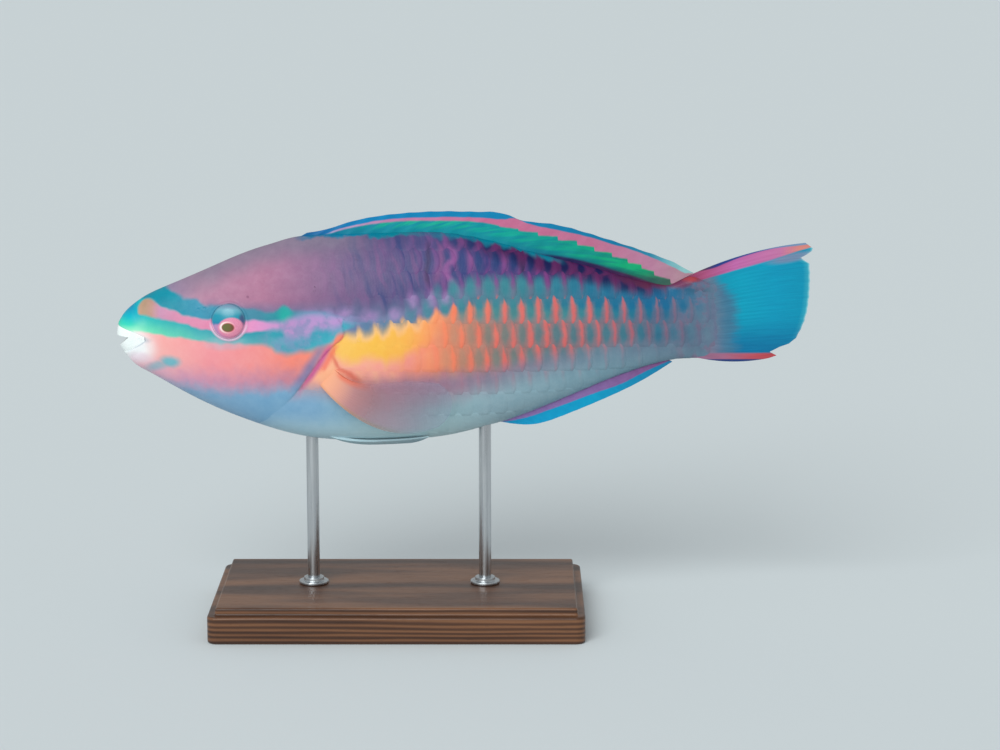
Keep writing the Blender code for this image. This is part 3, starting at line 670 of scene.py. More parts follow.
def body_colours(mix, aft, up, bar, cloud, lean):
    """The flank behind the gills and the whole back; bar is 1 on a scale's margin and 0 at its centre."""
    belly = aft.shades((
        (50, 140, 184, 214), (80, 150, 190, 218), (104, 172, 206, 216), (128, 176, 206, 212),
        (150, 164, 190, 200), (200, 136, 170, 184), (232, 116, 144, 162)
    ))
    mauve = aft.shades((
        (84, 214, 164, 166), (104, 192, 152, 168), (124, 184, 144, 164), (150, 164, 142, 162),
        (190, 128, 148, 166), (235, 108, 128, 150)
    ))
    low_cell = aft.shades((
        (84, 255, 186, 164), (106, 255, 180, 166), (118, 250, 164, 150), (126, 252, 162, 124),
        (134, 220, 152, 122), (150, 146, 140, 132), (176, 104, 134, 142), (206, 70, 128, 146),
        (218, 58, 120, 146), (236, 108, 134, 154)
    ))
    high_cell = aft.shades((
        (130, 226, 160, 120), (138, 140, 148, 144), (150, 92, 148, 150), (180, 74, 144, 152),
        (204, 40, 128, 152), (218, 24, 112, 146), (236, 104, 134, 156)
    ))
    warm_bar = aft.shades((
        (84, 255, 190, 162), (106, 255, 188, 164), (118, 252, 166, 138), (134, 250, 146, 110),
        (156, 232, 124, 116), (190, 216, 116, 118), (205, 192, 108, 120), (213, 156, 110, 130),
        (222, 138, 112, 136), (236, 114, 122, 148)
    ))
    yellow = aft.shades((
        (84, 254, 196, 116), (92, 254, 206, 108), (104, 254, 202, 90), (116, 254, 194, 94),
        (124, 254, 178, 106), (134, 250, 156, 112)
    ))
    teal_cell = aft.shades((
        (84, 110, 136, 176), (112, 106, 142, 168), (132, 78, 144, 158), (160, 66, 142, 154),
        (192, 24, 122, 154), (218, 0, 108, 152), (228, 40, 116, 152), (238, 106, 134, 156)
    ))
    teal_bar = aft.shades((
        (84, 132, 140, 180), (112, 134, 140, 172), (130, 146, 126, 168), (146, 118, 130, 156),
        (165, 116, 128, 148), (196, 66, 118, 148), (218, 36, 108, 148), (238, 116, 130, 154)
    ))
    back_cell = aft.shades((
        (18, 150, 142, 172), (34, 190, 139, 164), (60, 182, 123, 153), (86, 140, 106, 145),
        (104, 106, 94, 138), (122, 88, 84, 134), (150, 46, 68, 126), (180, 28, 44, 104), (200, 30, 56, 112),
        (212, 70, 52, 100), (224, 84, 60, 96), (236, 100, 116, 144)
    ))
    back_bar = aft.shades((
        (18, 150, 142, 172), (34, 190, 139, 164), (60, 182, 123, 153), (86, 144, 106, 147),
        (106, 112, 94, 140), (120, 112, 90, 142), (134, 134, 88, 148), (146, 142, 86, 150),
        (170, 134, 70, 138), (196, 124, 60, 112), (214, 110, 56, 92), (236, 110, 108, 140)
    ))
    contrast = (bar - 0.4) * aft.rise(96, 132)
    orange_edge = aft.line(ORANGE_BOTTOM)
    colour = belly.lay(mauve, up.over(aft.line(MAUVE_BOTTOM), 12))
    cell = low_cell.lay(high_cell, up.rise(3, 7.5) * aft.rise(130, 140))
    warm = cell.lay(warm_bar, bar)
    in_yellow = (up + contrast * 1.2).over(aft.line(YELLOW_BOTTOM), 6) * aft.rise(138, 120)
    warm = warm.lay(yellow, in_yellow)
    colour = colour.lay(warm, up.over(orange_edge, 8))
    faint = aft.span(124, 146, 190, 225) * up.over(orange_edge - 9, 9)
    faint = faint * (orange_edge - up).rise(-4, 3)
    colour = colour.lay(mix.mix((100, 132, 150), (196, 130, 146), bar), faint * abs(bar - 0.4) * 0.5)
    row = teal_cell.lay(teal_bar, bar)
    toothed = (bar - 0.4) * aft.rise(126, 140)
    row_edge = aft.line(ROW_TEAL_BOTTOM) + (bar - 0.4) * aft.rise(84, 96) * 3 + toothed * 2
    head_row = aft.rise(136, 118) * up.over(aft.line(ROW_TEAL_BOTTOM) + 5.4, 3)
    row = row.lay((108, 116, 152), head_row * 0.8)
    tips = (up - row_edge + 1.5).bell(3) * aft.rise(90, 98) * aft.rise(134, 116)
    colour = colour.lay((253, 206, 166), tips * 0.5)
    colour = colour.lay(row, up.over(row_edge, aft.rise(140, 112) * 1.8 + 3.2))
    back = back_cell.lay(back_bar, bar)
    spikes = aft.rise(100, 130) * 3.6 * (1 - aft.rise(184, 200) * 0.5)
    back_edge = aft.line(BACK_BOTTOM) - (bar - 0.4) * spikes
    streaked = aft.span(82, 106, 146, 168)
    back = back.lay((58, 76, 130), streaked * lean.rise(-0.02, 0.2) * 0.7)
    back = back.lay((150, 96, 148), streaked * lean.rise(0, -0.22) * 0.5)
    for line, (width, shade, strength) in BACK_STREAKS:
        mark = (aft - up.line(line)).bell(width) * up.rise(line[0][0] - 1, line[0][0] + 3)
        mark = mark * up.rise(line[-1][0] + 1, line[-1][0] - 3)
        back = back.lay(shade, mark * strength)
    colour = colour.lay(back, up.over(back_edge, aft.rise(140, 108) * 2.5 + 5.5))
    lilac = 0
    for *place, half_length, half_height in LILAC_SPOTS:
        lilac = spot(aft, up, place, (half_length, half_height), 0.8) + lilac
    colour = colour.lay((184, 146, 196), lilac * (cloud.rise(-0.2, 0.1) * 0.35 + 0.4))
    # The underside made paler: partly the belly's own pale tone, partly painted light against the shade
    # beneath it
    under = up.rise(-30, -42) * aft.rise(48, 66) * aft.rise(168, 140)
    colour = colour.lay((206, 230, 234), under * 0.7)
    crest = aft.line(CREST)
    greyed = aft.span(14, 40, 84, 112) * up.over(crest - 6, 11)
    colour = colour.lay((142, 136, 154), greyed * 0.75)
    foot = aft.span(71, 76, 112, 128) * (up + cloud * 3).over(crest - 0.7, 1.2)
    colour = colour.lay(aft.shades(((72, 34, 118, 160), (92, 0, 134, 168), (120, 0, 142, 154))), foot)
    dark = aft.span(124, 160, 208, 224) * up.over(crest - 4.6, 5)
    deep = mix.mix((12, 18, 82), (98, 34, 94), bar.rise(0, 0.5))
    colour = colour.lay(deep, dark * 0.94)
    ledge = aft.span(116, 140, 172, 184) * (up - bar * 1.2).over(crest - 1.3, 1.6)
    colour = colour.lay((0, 132, 156), ledge)
    clouded = aft.rise(220, 232) * cloud.rise(-0.03, 0.12) * 0.6
    colour = colour.lay((140, 116, 142), clouded)
    stalk = aft.span(192, 206, 231, 238) * up.over(crest - 1.8, 1.8)
    maroon = aft.shades(((192, 76, 32, 86), (212, 98, 36, 76), (224, 122, 50, 82), (236, 130, 84, 116)))
    return colour.lay(maroon, stalk)


def markings(mix, aft, up, vector, bar):
    """All the body's colours as one pattern of aft and up."""
    from_eye = ((aft - EYE_AFT) ** 2 + (up - EYE_UP) ** 2) ** 0.5
    eye_ring = (from_eye - RIM_RADIUS).bell(0.95) * up.rise(EYE_UP + 0.5, EYE_UP - 2.5)
    wander = mix.noise(vector, 0.11, 2) - 0.5
    ripple = mix.noise(vector, 0.17, 1) - 0.5
    tooth = mix.noise(vector, 0.2, 1, 0.5, (1, 1, 0.25)) - 0.5
    aft, up = aft + ripple * 1.4, up + wander * 1.8 + ripple * 2.2
    cloud = mix.noise(vector, 0.16, 3, 0.6) - 0.5
    leaning = mix.join(aft * 0.28 + up * 0.1, up * 0.045, 0)
    lean = mix.noise(leaning, 1, 2, 0.5) - 0.5
    on_flank = aft.rise(84, 96)
    body = body_colours(mix, aft, up + tooth * on_flank * 3, bar, cloud, lean)
    soft = up.rise(2.5, 6.5) * 12 + 0.8
    gill = up.line([p for p in GILL_LINE if abs(p[0]) < 50]) + soft * 0.5
    behind_gill = (aft - gill).rise(soft * -0.5, soft * 0.5)
    above_face = up.over(aft.line(UPPER_TEAL_TOP), 2)
    on_body = behind_gill.maths("MAXIMUM", above_face * aft.rise(9, 14))
    colour = head_colours(aft, up, cloud).lay(body, on_body)
    stripe_aft = up.line(GILL_STRIPE)
    in_stripe = up.span(-27, -15, -6, -1)
    colour = colour.lay((255, 192, 152), spot(aft, up, (85.4, -13.6), (4.6, 5.6), 0.5) * 0.85)
    colour = colour.lay((122, 136, 178), (aft - stripe_aft + 2.8).bell(4.2) * in_stripe * 0.7)
    ember = (aft - stripe_aft - 2.4).bell(2.4) * up.rise(-15, -11) * up.rise(-2, -5)
    colour = colour.lay((246, 118, 106), ember * 0.7)
    colour = colour.lay((214, 104, 160), (aft - stripe_aft).bell(2.4) * in_stripe * 0.95)
    # Painted shadow of the pectoral fin's upper root edge on the body, in soft orange-red
    painted_fin_root_shadow = (up - aft.line(FIN_ROOT_SHADOW)).bell(2.4) * aft.rise(86, 88.5) * aft.rise(101, 95)
    colour = colour.lay((232, 124, 102), painted_fin_root_shadow * 0.75)
    colour = colour.lay((192, 72, 74), spot(aft, up, (230.5, 21.6), (3.6, 1.3), 0.6) * 0.8)
    colour = colour.lay((128, 62, 104), spot(aft, up, (226, 18.8), (3.4, 1.6), 0.6) * 0.6)
    colour = colour.lay((140, 84, 118), spot(aft, up, (54.2, 15.8), (0.6, 0.5), 0.4) * 0.6)
    colour = colour.lay((238, 200, 220), eye_ring * 0.85)
    mottle = mix.noise(vector, 0.22, 4, 0.65)
    return colour.lay(mottle.shades(((0.3, 100, 104, 108), (0.7, 156, 152, 150))), 0.5, "SOFT_LIGHT")


def skin_finish():
    mix = Recipe("painted_skin", roughness=0.42, specular_ior_level=0.22)
    aft, out, up, vector = mix.place()
    bar = (aft * (2 * math.pi / SCALE_PITCH)).maths("SINE") * aft.rise(110, 150) * 0.4 + 0.4
    colour = markings(mix, aft, up, vector, bar)
    inside = aft.rise(9.5, 4.5) * spot(aft, up, (2.6, -3.9), (4.4, 2.6), 0.3) * abs(out).rise(5.2, 4.2)
    colour = colour.lay((96, 70, 78), inside * 0.8)
    mix.feed("Roughness", mix.noise(vector, 0.5, 3).rise(0.3, 0.7) * 0.12 + 0.36)
    return mix.finished(colour, mix.noise(vector, 2.2, 3, 0.6), 0.12, 0.5)


def scale_finish():
    mix = Recipe("painted_scales", roughness=0.38, specular_ior_level=0.22)
    aft, _, up, vector = mix.place()
    along, across = mix.map_parts("scale")
    seat_aft, seat_up, lot = (mix.read(name) for name in ("seat_aft", "seat_up", "lot"))
    margin, halfway = (1 - along) * SCALE_LENGTH, abs(across * 2 - 1)
    uneven = mix.noise(vector, 0.35, 2) - 0.5
    fade = mix.noise(vector, 0.09, 2).rise(0.25, 0.6) * 0.3 + 0.7
    behind = margin + halfway**4 * SCALE_ROUND + uneven * 1.4
    pointed = seat_aft.span(128, 138, 156, 170)
    narrowing = across.rise(0.5, 1) * pointed * 1.2 + halfway.rise(0.75, 1) * 0.3
    narrowing = narrowing + seat_aft.rise(158, 212) * 0.4
    nearest = abs(behind - BAR_AT).maths("MINIMUM", abs(behind - (BAR_AT + SCALE_PITCH)))
    free = (nearest + narrowing + lot * 0.2).rise(1.8, 0.35) * fade
    middle, tall = (behind - 4.7) / 1.6, halfway / 0.85
    centre = ((middle * middle + tall * tall) ** 0.5).rise(1.35, 0.4)
    bar = free * 0.66 + 0.34 - centre * 0.34
    colour = markings(mix, aft + (seat_aft - aft) * 0.1, up + (seat_up - up) * 0.1, vector, bar)
    # Painted shade along each scale's free edge, where it lies over the next one
    painted_edge_shade = margin.rise(0.4, 0.05) * seat_aft.rise(110, 150) * 0.06
    ridges = mix.noise(vector, 1, 2, 0.5, (1.2, 5, 5))
    rings = (margin * 5.5).maths("SINE")
    mix.feed("Roughness", ridges.rise(0.3, 0.7) * 0.12 + 0.34)
    return mix.finished(colour.lay((70, 80, 104), painted_edge_shade), ridges + rings * 0.12, 0.1, 0.45)


# The skin


def unwrapped(aft, turn_share):
    """Where a point lies on the flat skin: along it by aft, across it by its share of the turn."""
    return np.stack([np.clip(aft / MAP_LENGTH, 0, 1) ** MAP_CROWDING, turn_share], axis=-1)


def eye_frame(side):
    """The eye's seat on the flank, and its axes: aft, up and outwards."""
    step = 0.5
    slope_aft = (flank_out(EYE_AFT + step, EYE_UP) - flank_out(EYE_AFT - step, EYE_UP)) / (2 * step)
    slope_up = (flank_out(EYE_AFT, EYE_UP + step) - flank_out(EYE_AFT, EYE_UP - step)) / (2 * step)
    outwards = np.array([-slope_aft, side, -slope_up])
    outwards /= np.linalg.norm(outwards)
    upwards = np.array([0, 0, 1.0]) - outwards[2] * outwards
    upwards /= np.linalg.norm(upwards)
    aftwards = np.cross(upwards, outwards) * side
    if aftwards[0] < 0:
        aftwards = -aftwards
    seat = np.array([EYE_AFT, side * float(flank_out(EYE_AFT, EYE_UP)), EYE_UP])
    return seat, (aftwards, upwards, outwards)


def sculpt_eye(points, side):
    seat, (aftwards, upwards, outwards) = eye_frame(side)
    local = points - seat
    x, y, z = local @ aftwards, local @ upwards, local @ outwards
    distance = np.hypot(x, y)
    near = (distance < EYE_REACH) & (points[:, 1] * side > 0)
    snap = near & (np.abs(distance - SOCKET_RADIUS) < 0.2)
    pull = np.where(snap, SOCKET_RADIUS / np.maximum(distance, 1e-6), 1)
    x, y, distance = x * pull, y * pull, distance * pull
    lifted = z + RIM_LIFT * bell(distance - RIM_RADIUS, RIM_WIDTH)
    share = np.clip(distance / SOCKET_RADIUS, 0, 1)
    bowl = EYE_SEAT - (EYE_DEPTH + EYE_ROOM) * np.sqrt(1 - share**2)
    z = np.where(distance < SOCKET_RADIUS - 0.05, np.minimum(bowl, lifted), lifted)
    moved = seat + x[:, None] * aftwards + y[:, None] * upwards + z[:, None] * outwards
    return np.where(near[:, None], moved, points)


def mouth_inside(points, above, below):
    """How far a point lies between two side-view lines, negative outside them."""
    aft, up = points[:, 0], points[:, 2]
    return np.minimum(straight_line(above)(aft) - up, up - straight_line(below)(aft))


def to_mouth(points):
    """Unit vectors from the points towards the mouth's middle."""
    inwards = np.array(MOUTH_MIDDLE) - points
    return inwards / np.linalg.norm(inwards, axis=1)[:, None]


def sculpt_mouth(points, normals):
    aft = points[:, 0]
    inside = np.minimum(mouth_inside(points, UPPER_LIP, LOWER_LIP), (MOUTH_CORNER[0] - aft) * 0.9)
    near = (aft < MOUTH_CORNER[0] + MOUTH_REACH)[:, None]
    gape = np.minimum(mouth_inside(points, UPPER_EDGE, LOWER_EDGE), MOUTH_APEX[0] - aft)
    sunk = MOUTH_RECESS * rise(inside, *RECESS_WALL) + GAPE_RECESS * rise(gape, *GAPE_WALL)
    swell = LIP_SWELL * bell(inside + LIP_AHEAD, LIP_WIDTH)
    swell = swell - LIP_CREASE * bell(inside + CREASE_AHEAD, CREASE_WIDTH)
    swell = np.where(inside < 0.6, swell, 0) * rise(aft, *LIP_FADE)
    moved = points + sunk[:, None] * to_mouth(points) + swell[:, None] * normals
    return np.where(near, moved, points)


def sculpt_gill(points, normals):
    aft, up = points[:, 0], points[:, 2]
    window = rise(up, GILL_BOTTOM - 4, GILL_BOTTOM + 6) * rise(up, GILL_TOP + 5, GILL_TOP - 4)
    ahead = GILL_AFT(up) - aft
    snap = (np.abs(ahead) < 0.3) & (window > 0.02)
    points[:, 0] += np.where(snap, ahead, 0)
    ahead = np.where(snap, 0, ahead)
    flap = FLAP_LIFT * np.exp(-np.maximum(ahead, 0) / FLAP_FADE)
    under = -FLAP_UNDERCUT * np.exp(np.minimum(ahead, 0) / UNDERCUT_FADE)
    fold = -FOLD_DEPTH * bell(aft - smooth_curve(CHEEK_FOLD)(up), FOLD_WIDTH)
    fold = fold * rise(up, -28, -20) * rise(up, 4, -2)
    return points + (np.where(ahead >= 0, flap, under) * window + fold)[:, None] * normals


def pads(aft, out, up):
    """How far the skin stands up where the pectoral fins grow and along the bases of the other fins."""
    (pad_aft, pad_up), (half_length, half_height), proud = PECTORAL_PAD
    lift = proud * bell(np.hypot((aft - pad_aft) / half_length, (up - pad_up) / half_height), 1)
    first, last = DORSAL_BASE
    upper = rise(aft, first - 6, first + 6) * rise(aft, last + 8, last - 4)
    lift = lift + np.where(up > 0, DORSAL_PAD, 0) * upper * bell(out, DORSAL_PAD_WIDTH)
    stalk = rise(up, 14.5, 18) * bell(aft - STALK_PAD_AFT, STALK_PAD_LENGTH)
    lift = lift + STALK_PAD * stalk * bell(out, STALK_PAD_WIDTH)
    first, last = ANAL_BASE
    lower = rise(aft, first - 4, first + 8) * rise(aft, last + 6, last - 8)
    return lift + np.where(up < 0, ANAL_PAD, 0) * lower * bell(out, ANAL_PAD_WIDTH)


def sculpt_details(points, normals):
    """Nostrils, and the pads of skin round the fins."""
    aft, out, up = points.T
    lift = pads(aft, out, up)
    for hole_aft, hole_up, radius in NOSTRILS:
        distance = np.hypot(aft - hole_aft, up - hole_up)
        lift += NOSTRIL_RIM * bell(distance - radius * 1.5, radius * 0.7)
        lift -= NOSTRIL_DEPTH * bell(distance, radius * 0.9)
    return points + lift[:, None] * normals


def coat_depth(aft):
    return COAT_DEPTH * rise(aft, COAT_FROM, COAT_FULL)


def make_skin():
    """A sphere whose rings become the body's stations, then sculpted."""
    nose = np.linspace(0, 1, NOSE_RINGS + 1)[1:-1] ** 2 * RING_STEPS[0][0]
    rings = np.concatenate([nose, spread(RING_STEPS)])
    turns = np.radians(spread(TURN_STEPS))
    around = 2 * (len(turns) - 1)
    size = {"segments": around, "ring_count": len(rings) + 1, "radius": 1}
    skin = start("skin", bpy.ops.mesh.primitive_uv_sphere_add, **size)
    unit = points_of(skin.data)
    ring = np.rint(np.arccos(np.clip(unit[:, 2], -1, 1)) / np.pi * (len(rings) + 1)).astype(int)
    turn = np.rint(np.arctan2(unit[:, 1], unit[:, 0]) / (2 * np.pi) * around).astype(int) % around
    right, left = turns[np.minimum(turn, len(turns) - 1)], -turns[(around - turn) % len(turns)]
    angle = np.where(turn < len(turns), right, left)
    aft = np.concatenate([[0], rings, [BODY_LENGTH]])[ring]
    points = body_points(aft, angle, -coat_depth(aft))
    tail = ring == len(rings) + 1
    points[tail] = (BODY_LENGTH, 0, (BACK(1) + BELLY(1)) / 2)
    put_points(skin.data, in_scene(points))
    normals = normals_of(skin.data)
    points = sculpt_mouth(points, normals)
    points = sculpt_gill(points, normals)
    points = sculpt_details(points, normals)
    for side in SIDES.values():
        points = sculpt_eye(points, side)
    put_points(skin.data, in_scene(points))
    lay_flat(skin.data, aft, angle)
    smooth(skin)
    hand_over(
        skin, skin_finish(), "skin", "head", "trunk", "tail_stalk", "gill_cover_left", "gill_cover_right"
    )


def lay_flat(mesh, aft, angle):
    """The skin's own unwrap, slit along the belly."""
    flat = mesh.uv_layers[0]
    flat.name = "OFBake"
    corner = np.empty(len(mesh.loops), int)
    mesh.loops.foreach_get("vertex_index", corner)
    counts = np.empty(len(mesh.polygons), int)
    mesh.polygons.foreach_get("loop_total", counts)
    starts = np.concatenate([[0], np.cumsum(counts)[:-1]])
    turn = angle[corner] / (2 * np.pi) + 0.5
    spans = np.maximum.reduceat(turn, starts) - np.minimum.reduceat(turn, starts)
    crossing = np.repeat(spans > 0.5, counts)
    turn = np.where(crossing & (turn > 0.5), turn - 1, turn)
    flat.data.foreach_set("uv", unwrapped(aft[corner], np.clip(turn, 0, 1)).astype(np.float32).ravel())


# Scales


class Flank:
    """The body's side measured along aft and by arc length up from the middle row of scales."""

    def __init__(self):
        self.afts = np.linspace(40, BODY_LENGTH, 240)
        self.arcs = np.linspace(-75, 75, 301)
        self.angles = np.empty((len(self.afts), len(self.arcs)))
        self.limits = np.empty((len(self.afts), 2))
        angles = np.linspace(0, np.pi, 400)
        for row, aft in enumerate(self.afts):
            section = body_points(np.full(len(angles), aft), angles)
            arc = np.concatenate([[0], np.cumsum(np.linalg.norm(np.diff(section, axis=0), axis=1))])
            height = MIDDLE_ROW[0] + MIDDLE_ROW[1] * (aft - MIDDLE_ROW[2])
            zero = np.interp(-height, -section[:, 2], arc)
            self.limits[row] = zero - arc[-1], zero
            self.angles[row] = np.interp(-self.arcs, arc - zero, angles)

    def limit(self, aft):
        """The lowest and highest arc at this station: the belly's and the back's middle lines."""
        return [np.interp(aft, self.afts, self.limits[:, end]) for end in (0, 1)]

    def angle(self, aft, arc):
        row, column = (
            np.clip((np.asarray(value) - grid[0]) / (grid[1] - grid[0]), 0, len(grid) - 1.001) for value,
            grid in ((aft, self.afts), (arc, self.arcs))
        )
        i, j = row.astype(int), column.astype(int)
        fi, fj = row - i, column - j
        near = self.angles[i, j] * (1 - fj) + self.angles[i, j + 1] * fj
        far = self.angles[i + 1, j] * (1 - fj) + self.angles[i + 1, j + 1] * fj
        return near * (1 - fi) + far * fi

    def point(self, aft, arc, height, side):
        """A point that height above the skin; past the body's end it goes straight on along the tail fin."""
        on_body = np.minimum(aft, BODY_LENGTH - 0.5)
        angle = self.angle(on_body, arc)
        step = 0.01
        here = body_points(on_body, angle, -coat_depth(on_body))
        ahead = body_points(on_body - 0.4, angle, -coat_depth(on_body)) - here
        round_ = body_points(on_body, angle + step, -coat_depth(on_body)) - here
        normal = np.cross(ahead, round_)
        normal /= np.maximum(np.linalg.norm(normal, axis=-1), 1e-9)[..., None]
        normal *= np.sign(normal[..., 1] + 1e-9)[..., None]
        height = height + pads(here[..., 0], here[..., 1], here[..., 2])
        here = here + normal * np.asarray(height)[..., None]
        here[..., 0] += aft - on_body
        here[..., 1] = np.maximum(here[..., 1], 0.02) * side
        return here


def one_scale():
    """One scale, flat and a unit long and wide: a plate with a wall round it and a closed underside."""
    plate = start("one_scale", bpy.ops.mesh.primitive_grid_add, x_subdivisions=6, y_subdivisions=9, size=1)
    edit(plate, "EDGE")
    bpy.ops.mesh.select_all(action="SELECT")
    bpy.ops.mesh.region_to_loop()
    bpy.ops.mesh.edge_face_add()
    close()
    points = points_of(plate.data)
    rim = np.max(np.abs(points[:, :2]), axis=1) > 0.499
    points[:, 2] = np.where(rim, -1, 0)
    along = np.interp(points[:, 0], np.linspace(-0.5, 0.5, 7), (0, 0.12, 0.4, 0.62, 0.84, 0.965, 1))
    rows = (-1, -0.95, -0.74, -0.46, -0.16, 0.16, 0.46, 0.74, 0.95, 1)
    across = np.interp(points[:, 1], np.linspace(-0.5, 0.5, 10), rows)
    faces = [tuple(face.vertices) for face in plate.data.polygons]
    bpy.data.objects.remove(plate)
    return along, across, points[:, 2], faces


def seats(flank):
    """The (free edge's aft, arc of its middle, row) of each scale."""
    found = []
    for row in ROWS:
        for column in COLUMNS:
            edge = FIRST_EDGE + SCALE_PITCH * (column + 0.5 * (row % 2))
            arc = row * ROW_PITCH
            middle = edge - SCALE_PITCH / 2
            low, high = flank.limit(middle)
            top, bottom = min(arc + SCALE_HEIGHT / 2, high), max(arc - SCALE_HEIGHT / 2, low)
            if top - bottom < SMALLEST_SCALE:
                continue
            middle_arc = np.array([(top + bottom) / 2])
            up = flank.point(np.array([min(middle, BODY_LENGTH)]), middle_arc, np.zeros(1), 1)[0, 2]
            behind_gill = middle > GILL_AFT(up) + GILL_CLEAR + BLOTCH_CLEAR * (abs(up - 8) < 7)
            on_nape = up > float(straight_line(UPPER_TEAL_TOP)(middle)) + NAPE_CLEAR and edge > NAPE_FROM
            if (behind_gill or on_nape) and edge < TAIL_EDGE:
                found.append((edge, arc, row))
    return found


def shape_scale(flank, seat, lot, plate, side):
    """Puts one scale on the body: its points, and how far aft the middle of its bare part lies."""
    edge, arc, row = seat
    along, across, wall = plate
    length = SCALE_LENGTH * (1 + LENGTH_CHANCE * (lot[0] - 0.5))
    edge_here = edge + PLACE_CHANCE * (lot[1] - 0.5)
    bow = BACK_BOW if row > 2 else SCALE_BOW
    bow = bow * across**2 + SCALE_ROUND * across**4 + SCALE_SLANT * across
    aft = edge_here - length * (1 - along) - bow * (0.3 + 0.7 * along)
    low, high = flank.limit(np.minimum(aft, BODY_LENGTH))
    top = np.minimum(arc + SCALE_HEIGHT / 2, high - SLIT)
    bottom = np.maximum(arc - SCALE_HEIGHT / 2, low + SLIT)
    narrow = 0.8 + 0.2 * rise(along, 0, 0.5)
    arcs = between(bottom, top, 0.5 + 0.5 * across * narrow)
    relief = between(HEAD_RELIEF, 1, rise(edge, 100, 148))
    relief = relief * (1 - TAIL_FLATTER * np.clip((edge - 190) / 60, 0, 1))
    relief = relief * (BELLY_RELIEF if row < -1 else 1)
    height = (SCALE_SUNK + SCALE_RISE * along + SCALE_CROWN * (1 - across**2)) * relief
    height = height + wall * SCALE_WALL * between(HEAD_WALL, 1, rise(edge, 95, 135))
    height = height + HEIGHT_CHANCE * (lot[2] - 0.5) * relief
    return flank.point(aft, arcs, height, side), edge_here - SCALE_PITCH / 2


def flat_patch(flank, middle_aft, arc, along, across):
    """A scale's own patch on the flat skin."""
    on_body = min(middle_aft, BODY_LENGTH)
    low, high = flank.limit(on_body)
    here = unwrapped(middle_aft, flank.angle(on_body, arc) / np.pi)
    ahead = unwrapped(middle_aft + SCALE_PITCH, 0)[0] - unwrapped(middle_aft, 0)[0]
    return here + np.stack([(along - 0.5) * ahead * 0.9, across * ROW_PITCH / (high - low) * 0.45], axis=-1)


def make_scales():
    flank = Flank()
    *plate, faces = one_scale()
    along, across, _ = plate
    finish = scale_finish()
    chance = np.random.default_rng(7)
    for name, side in SIDES.items():
        points, flat, seat_values, rows_of_faces = [], [], [], []
        turn = reversed if side < 0 else tuple
        for seat in seats(flank):
            lot = chance.random(4)
            made, middle_aft = shape_scale(flank, seat, lot, plate, side)
            first = len(points) * len(along)
            points.append(made)
            flat.append(flat_patch(flank, middle_aft, seat[1], along, across))
            seat_values.append(np.tile([middle_aft, made[:, 2].mean(), lot[3]], (len(along), 1)))
            rows_of_faces += [tuple(turn([first + v for v in face])) for face in faces]
        mesh = bpy.data.meshes.new(f"scales_{name}")
        mesh.from_pydata(in_scene(np.concatenate(points)), [], rows_of_faces)
        own = bpy.data.objects.new(f"scales_{name}", mesh)
        bpy.context.scene.collection.objects.link(own)
        corner = np.empty(len(mesh.loops), int)
        mesh.loops.foreach_get("vertex_index", corner)
        pattern = np.tile(np.stack([along, across / 2 + 0.5], axis=-1), (len(points), 1))
        for layer, values in (("OFBake", np.concatenate(flat)), ("scale", pattern)):
            mesh.uv_layers.new(name=layer).data.foreach_set("uv", values[corner].astype(np.float32).ravel())
        values = np.concatenate(seat_values)
        for column, attribute in enumerate(("seat_aft", "seat_up", "lot")):
            added = mesh.attributes.new(attribute, "FLOAT", "POINT")
            added.data.foreach_set("value", values[:, column].astype(np.float32))
        face_outwards(own)
        smooth(own, 50)
        hand_over(own, finish, "skin")


# Fins


def margin_curve(table):
    shares, afts, ups = zip(*table)
    return lambda ray: (np.interp(ray, shares, afts), np.interp(ray, shares, ups))


def arch(reach, lean=1):
    """0 at both ends of a ray and 1 at its crown, which lies nearer the root the more it leans."""
    crown = 1 / (1 + lean)
    return reach * (1 - reach) ** lean / (crown * (1 - crown) ** lean)


def fan_point(root, margin, bow, ray, reach, lean=1):
    """(aft, up) on a fin whose rays spread from a short root to a margin; bow arches the outer two."""
    tip_aft, tip_up = margin(ray)
    root_aft, root_up = (between(root[0][axis], root[1][axis], ray) for axis in (0, 1))
    arched = between(bow[0] * arch(reach), bow[1] * arch(reach, lean), ray)
    return between(root_aft, tip_aft, reach), between(root_up, tip_up, reach) + arched


def median_fin(base, rake, margin, body_line, inwards):
    """Places a fin that stands on the back or hangs from the belly, its rays raked aft."""
    margin_line = smooth_curve(margin)

    def at(ray, reach):
        root_aft = between(*base, ray)
        tip_aft = root_aft + between(*rake, ray)
        root_up = body_line(station_of(root_aft)) + inwards * FIN_SUNK
        up = between(root_up, margin_line(tip_aft), reach)
        return np.stack([between(root_aft, tip_aft, reach), np.zeros_like(ray), up], axis=-1)

    return at


def ridges(ray, reach, count, forks):
    """1 along each ray, 0 on the membrane between; each fork doubles the rays outside that reach."""
    phase = ray * (count - 1)
    single = np.abs(np.cos(np.pi * phase)) ** 3
    for fork in forks:
        phase = phase * 2
        double = np.abs(np.cos(np.pi * phase)) ** 2
        single = between(single, double, rise(reach, fork - 0.12, fork + 0.12))
    return single


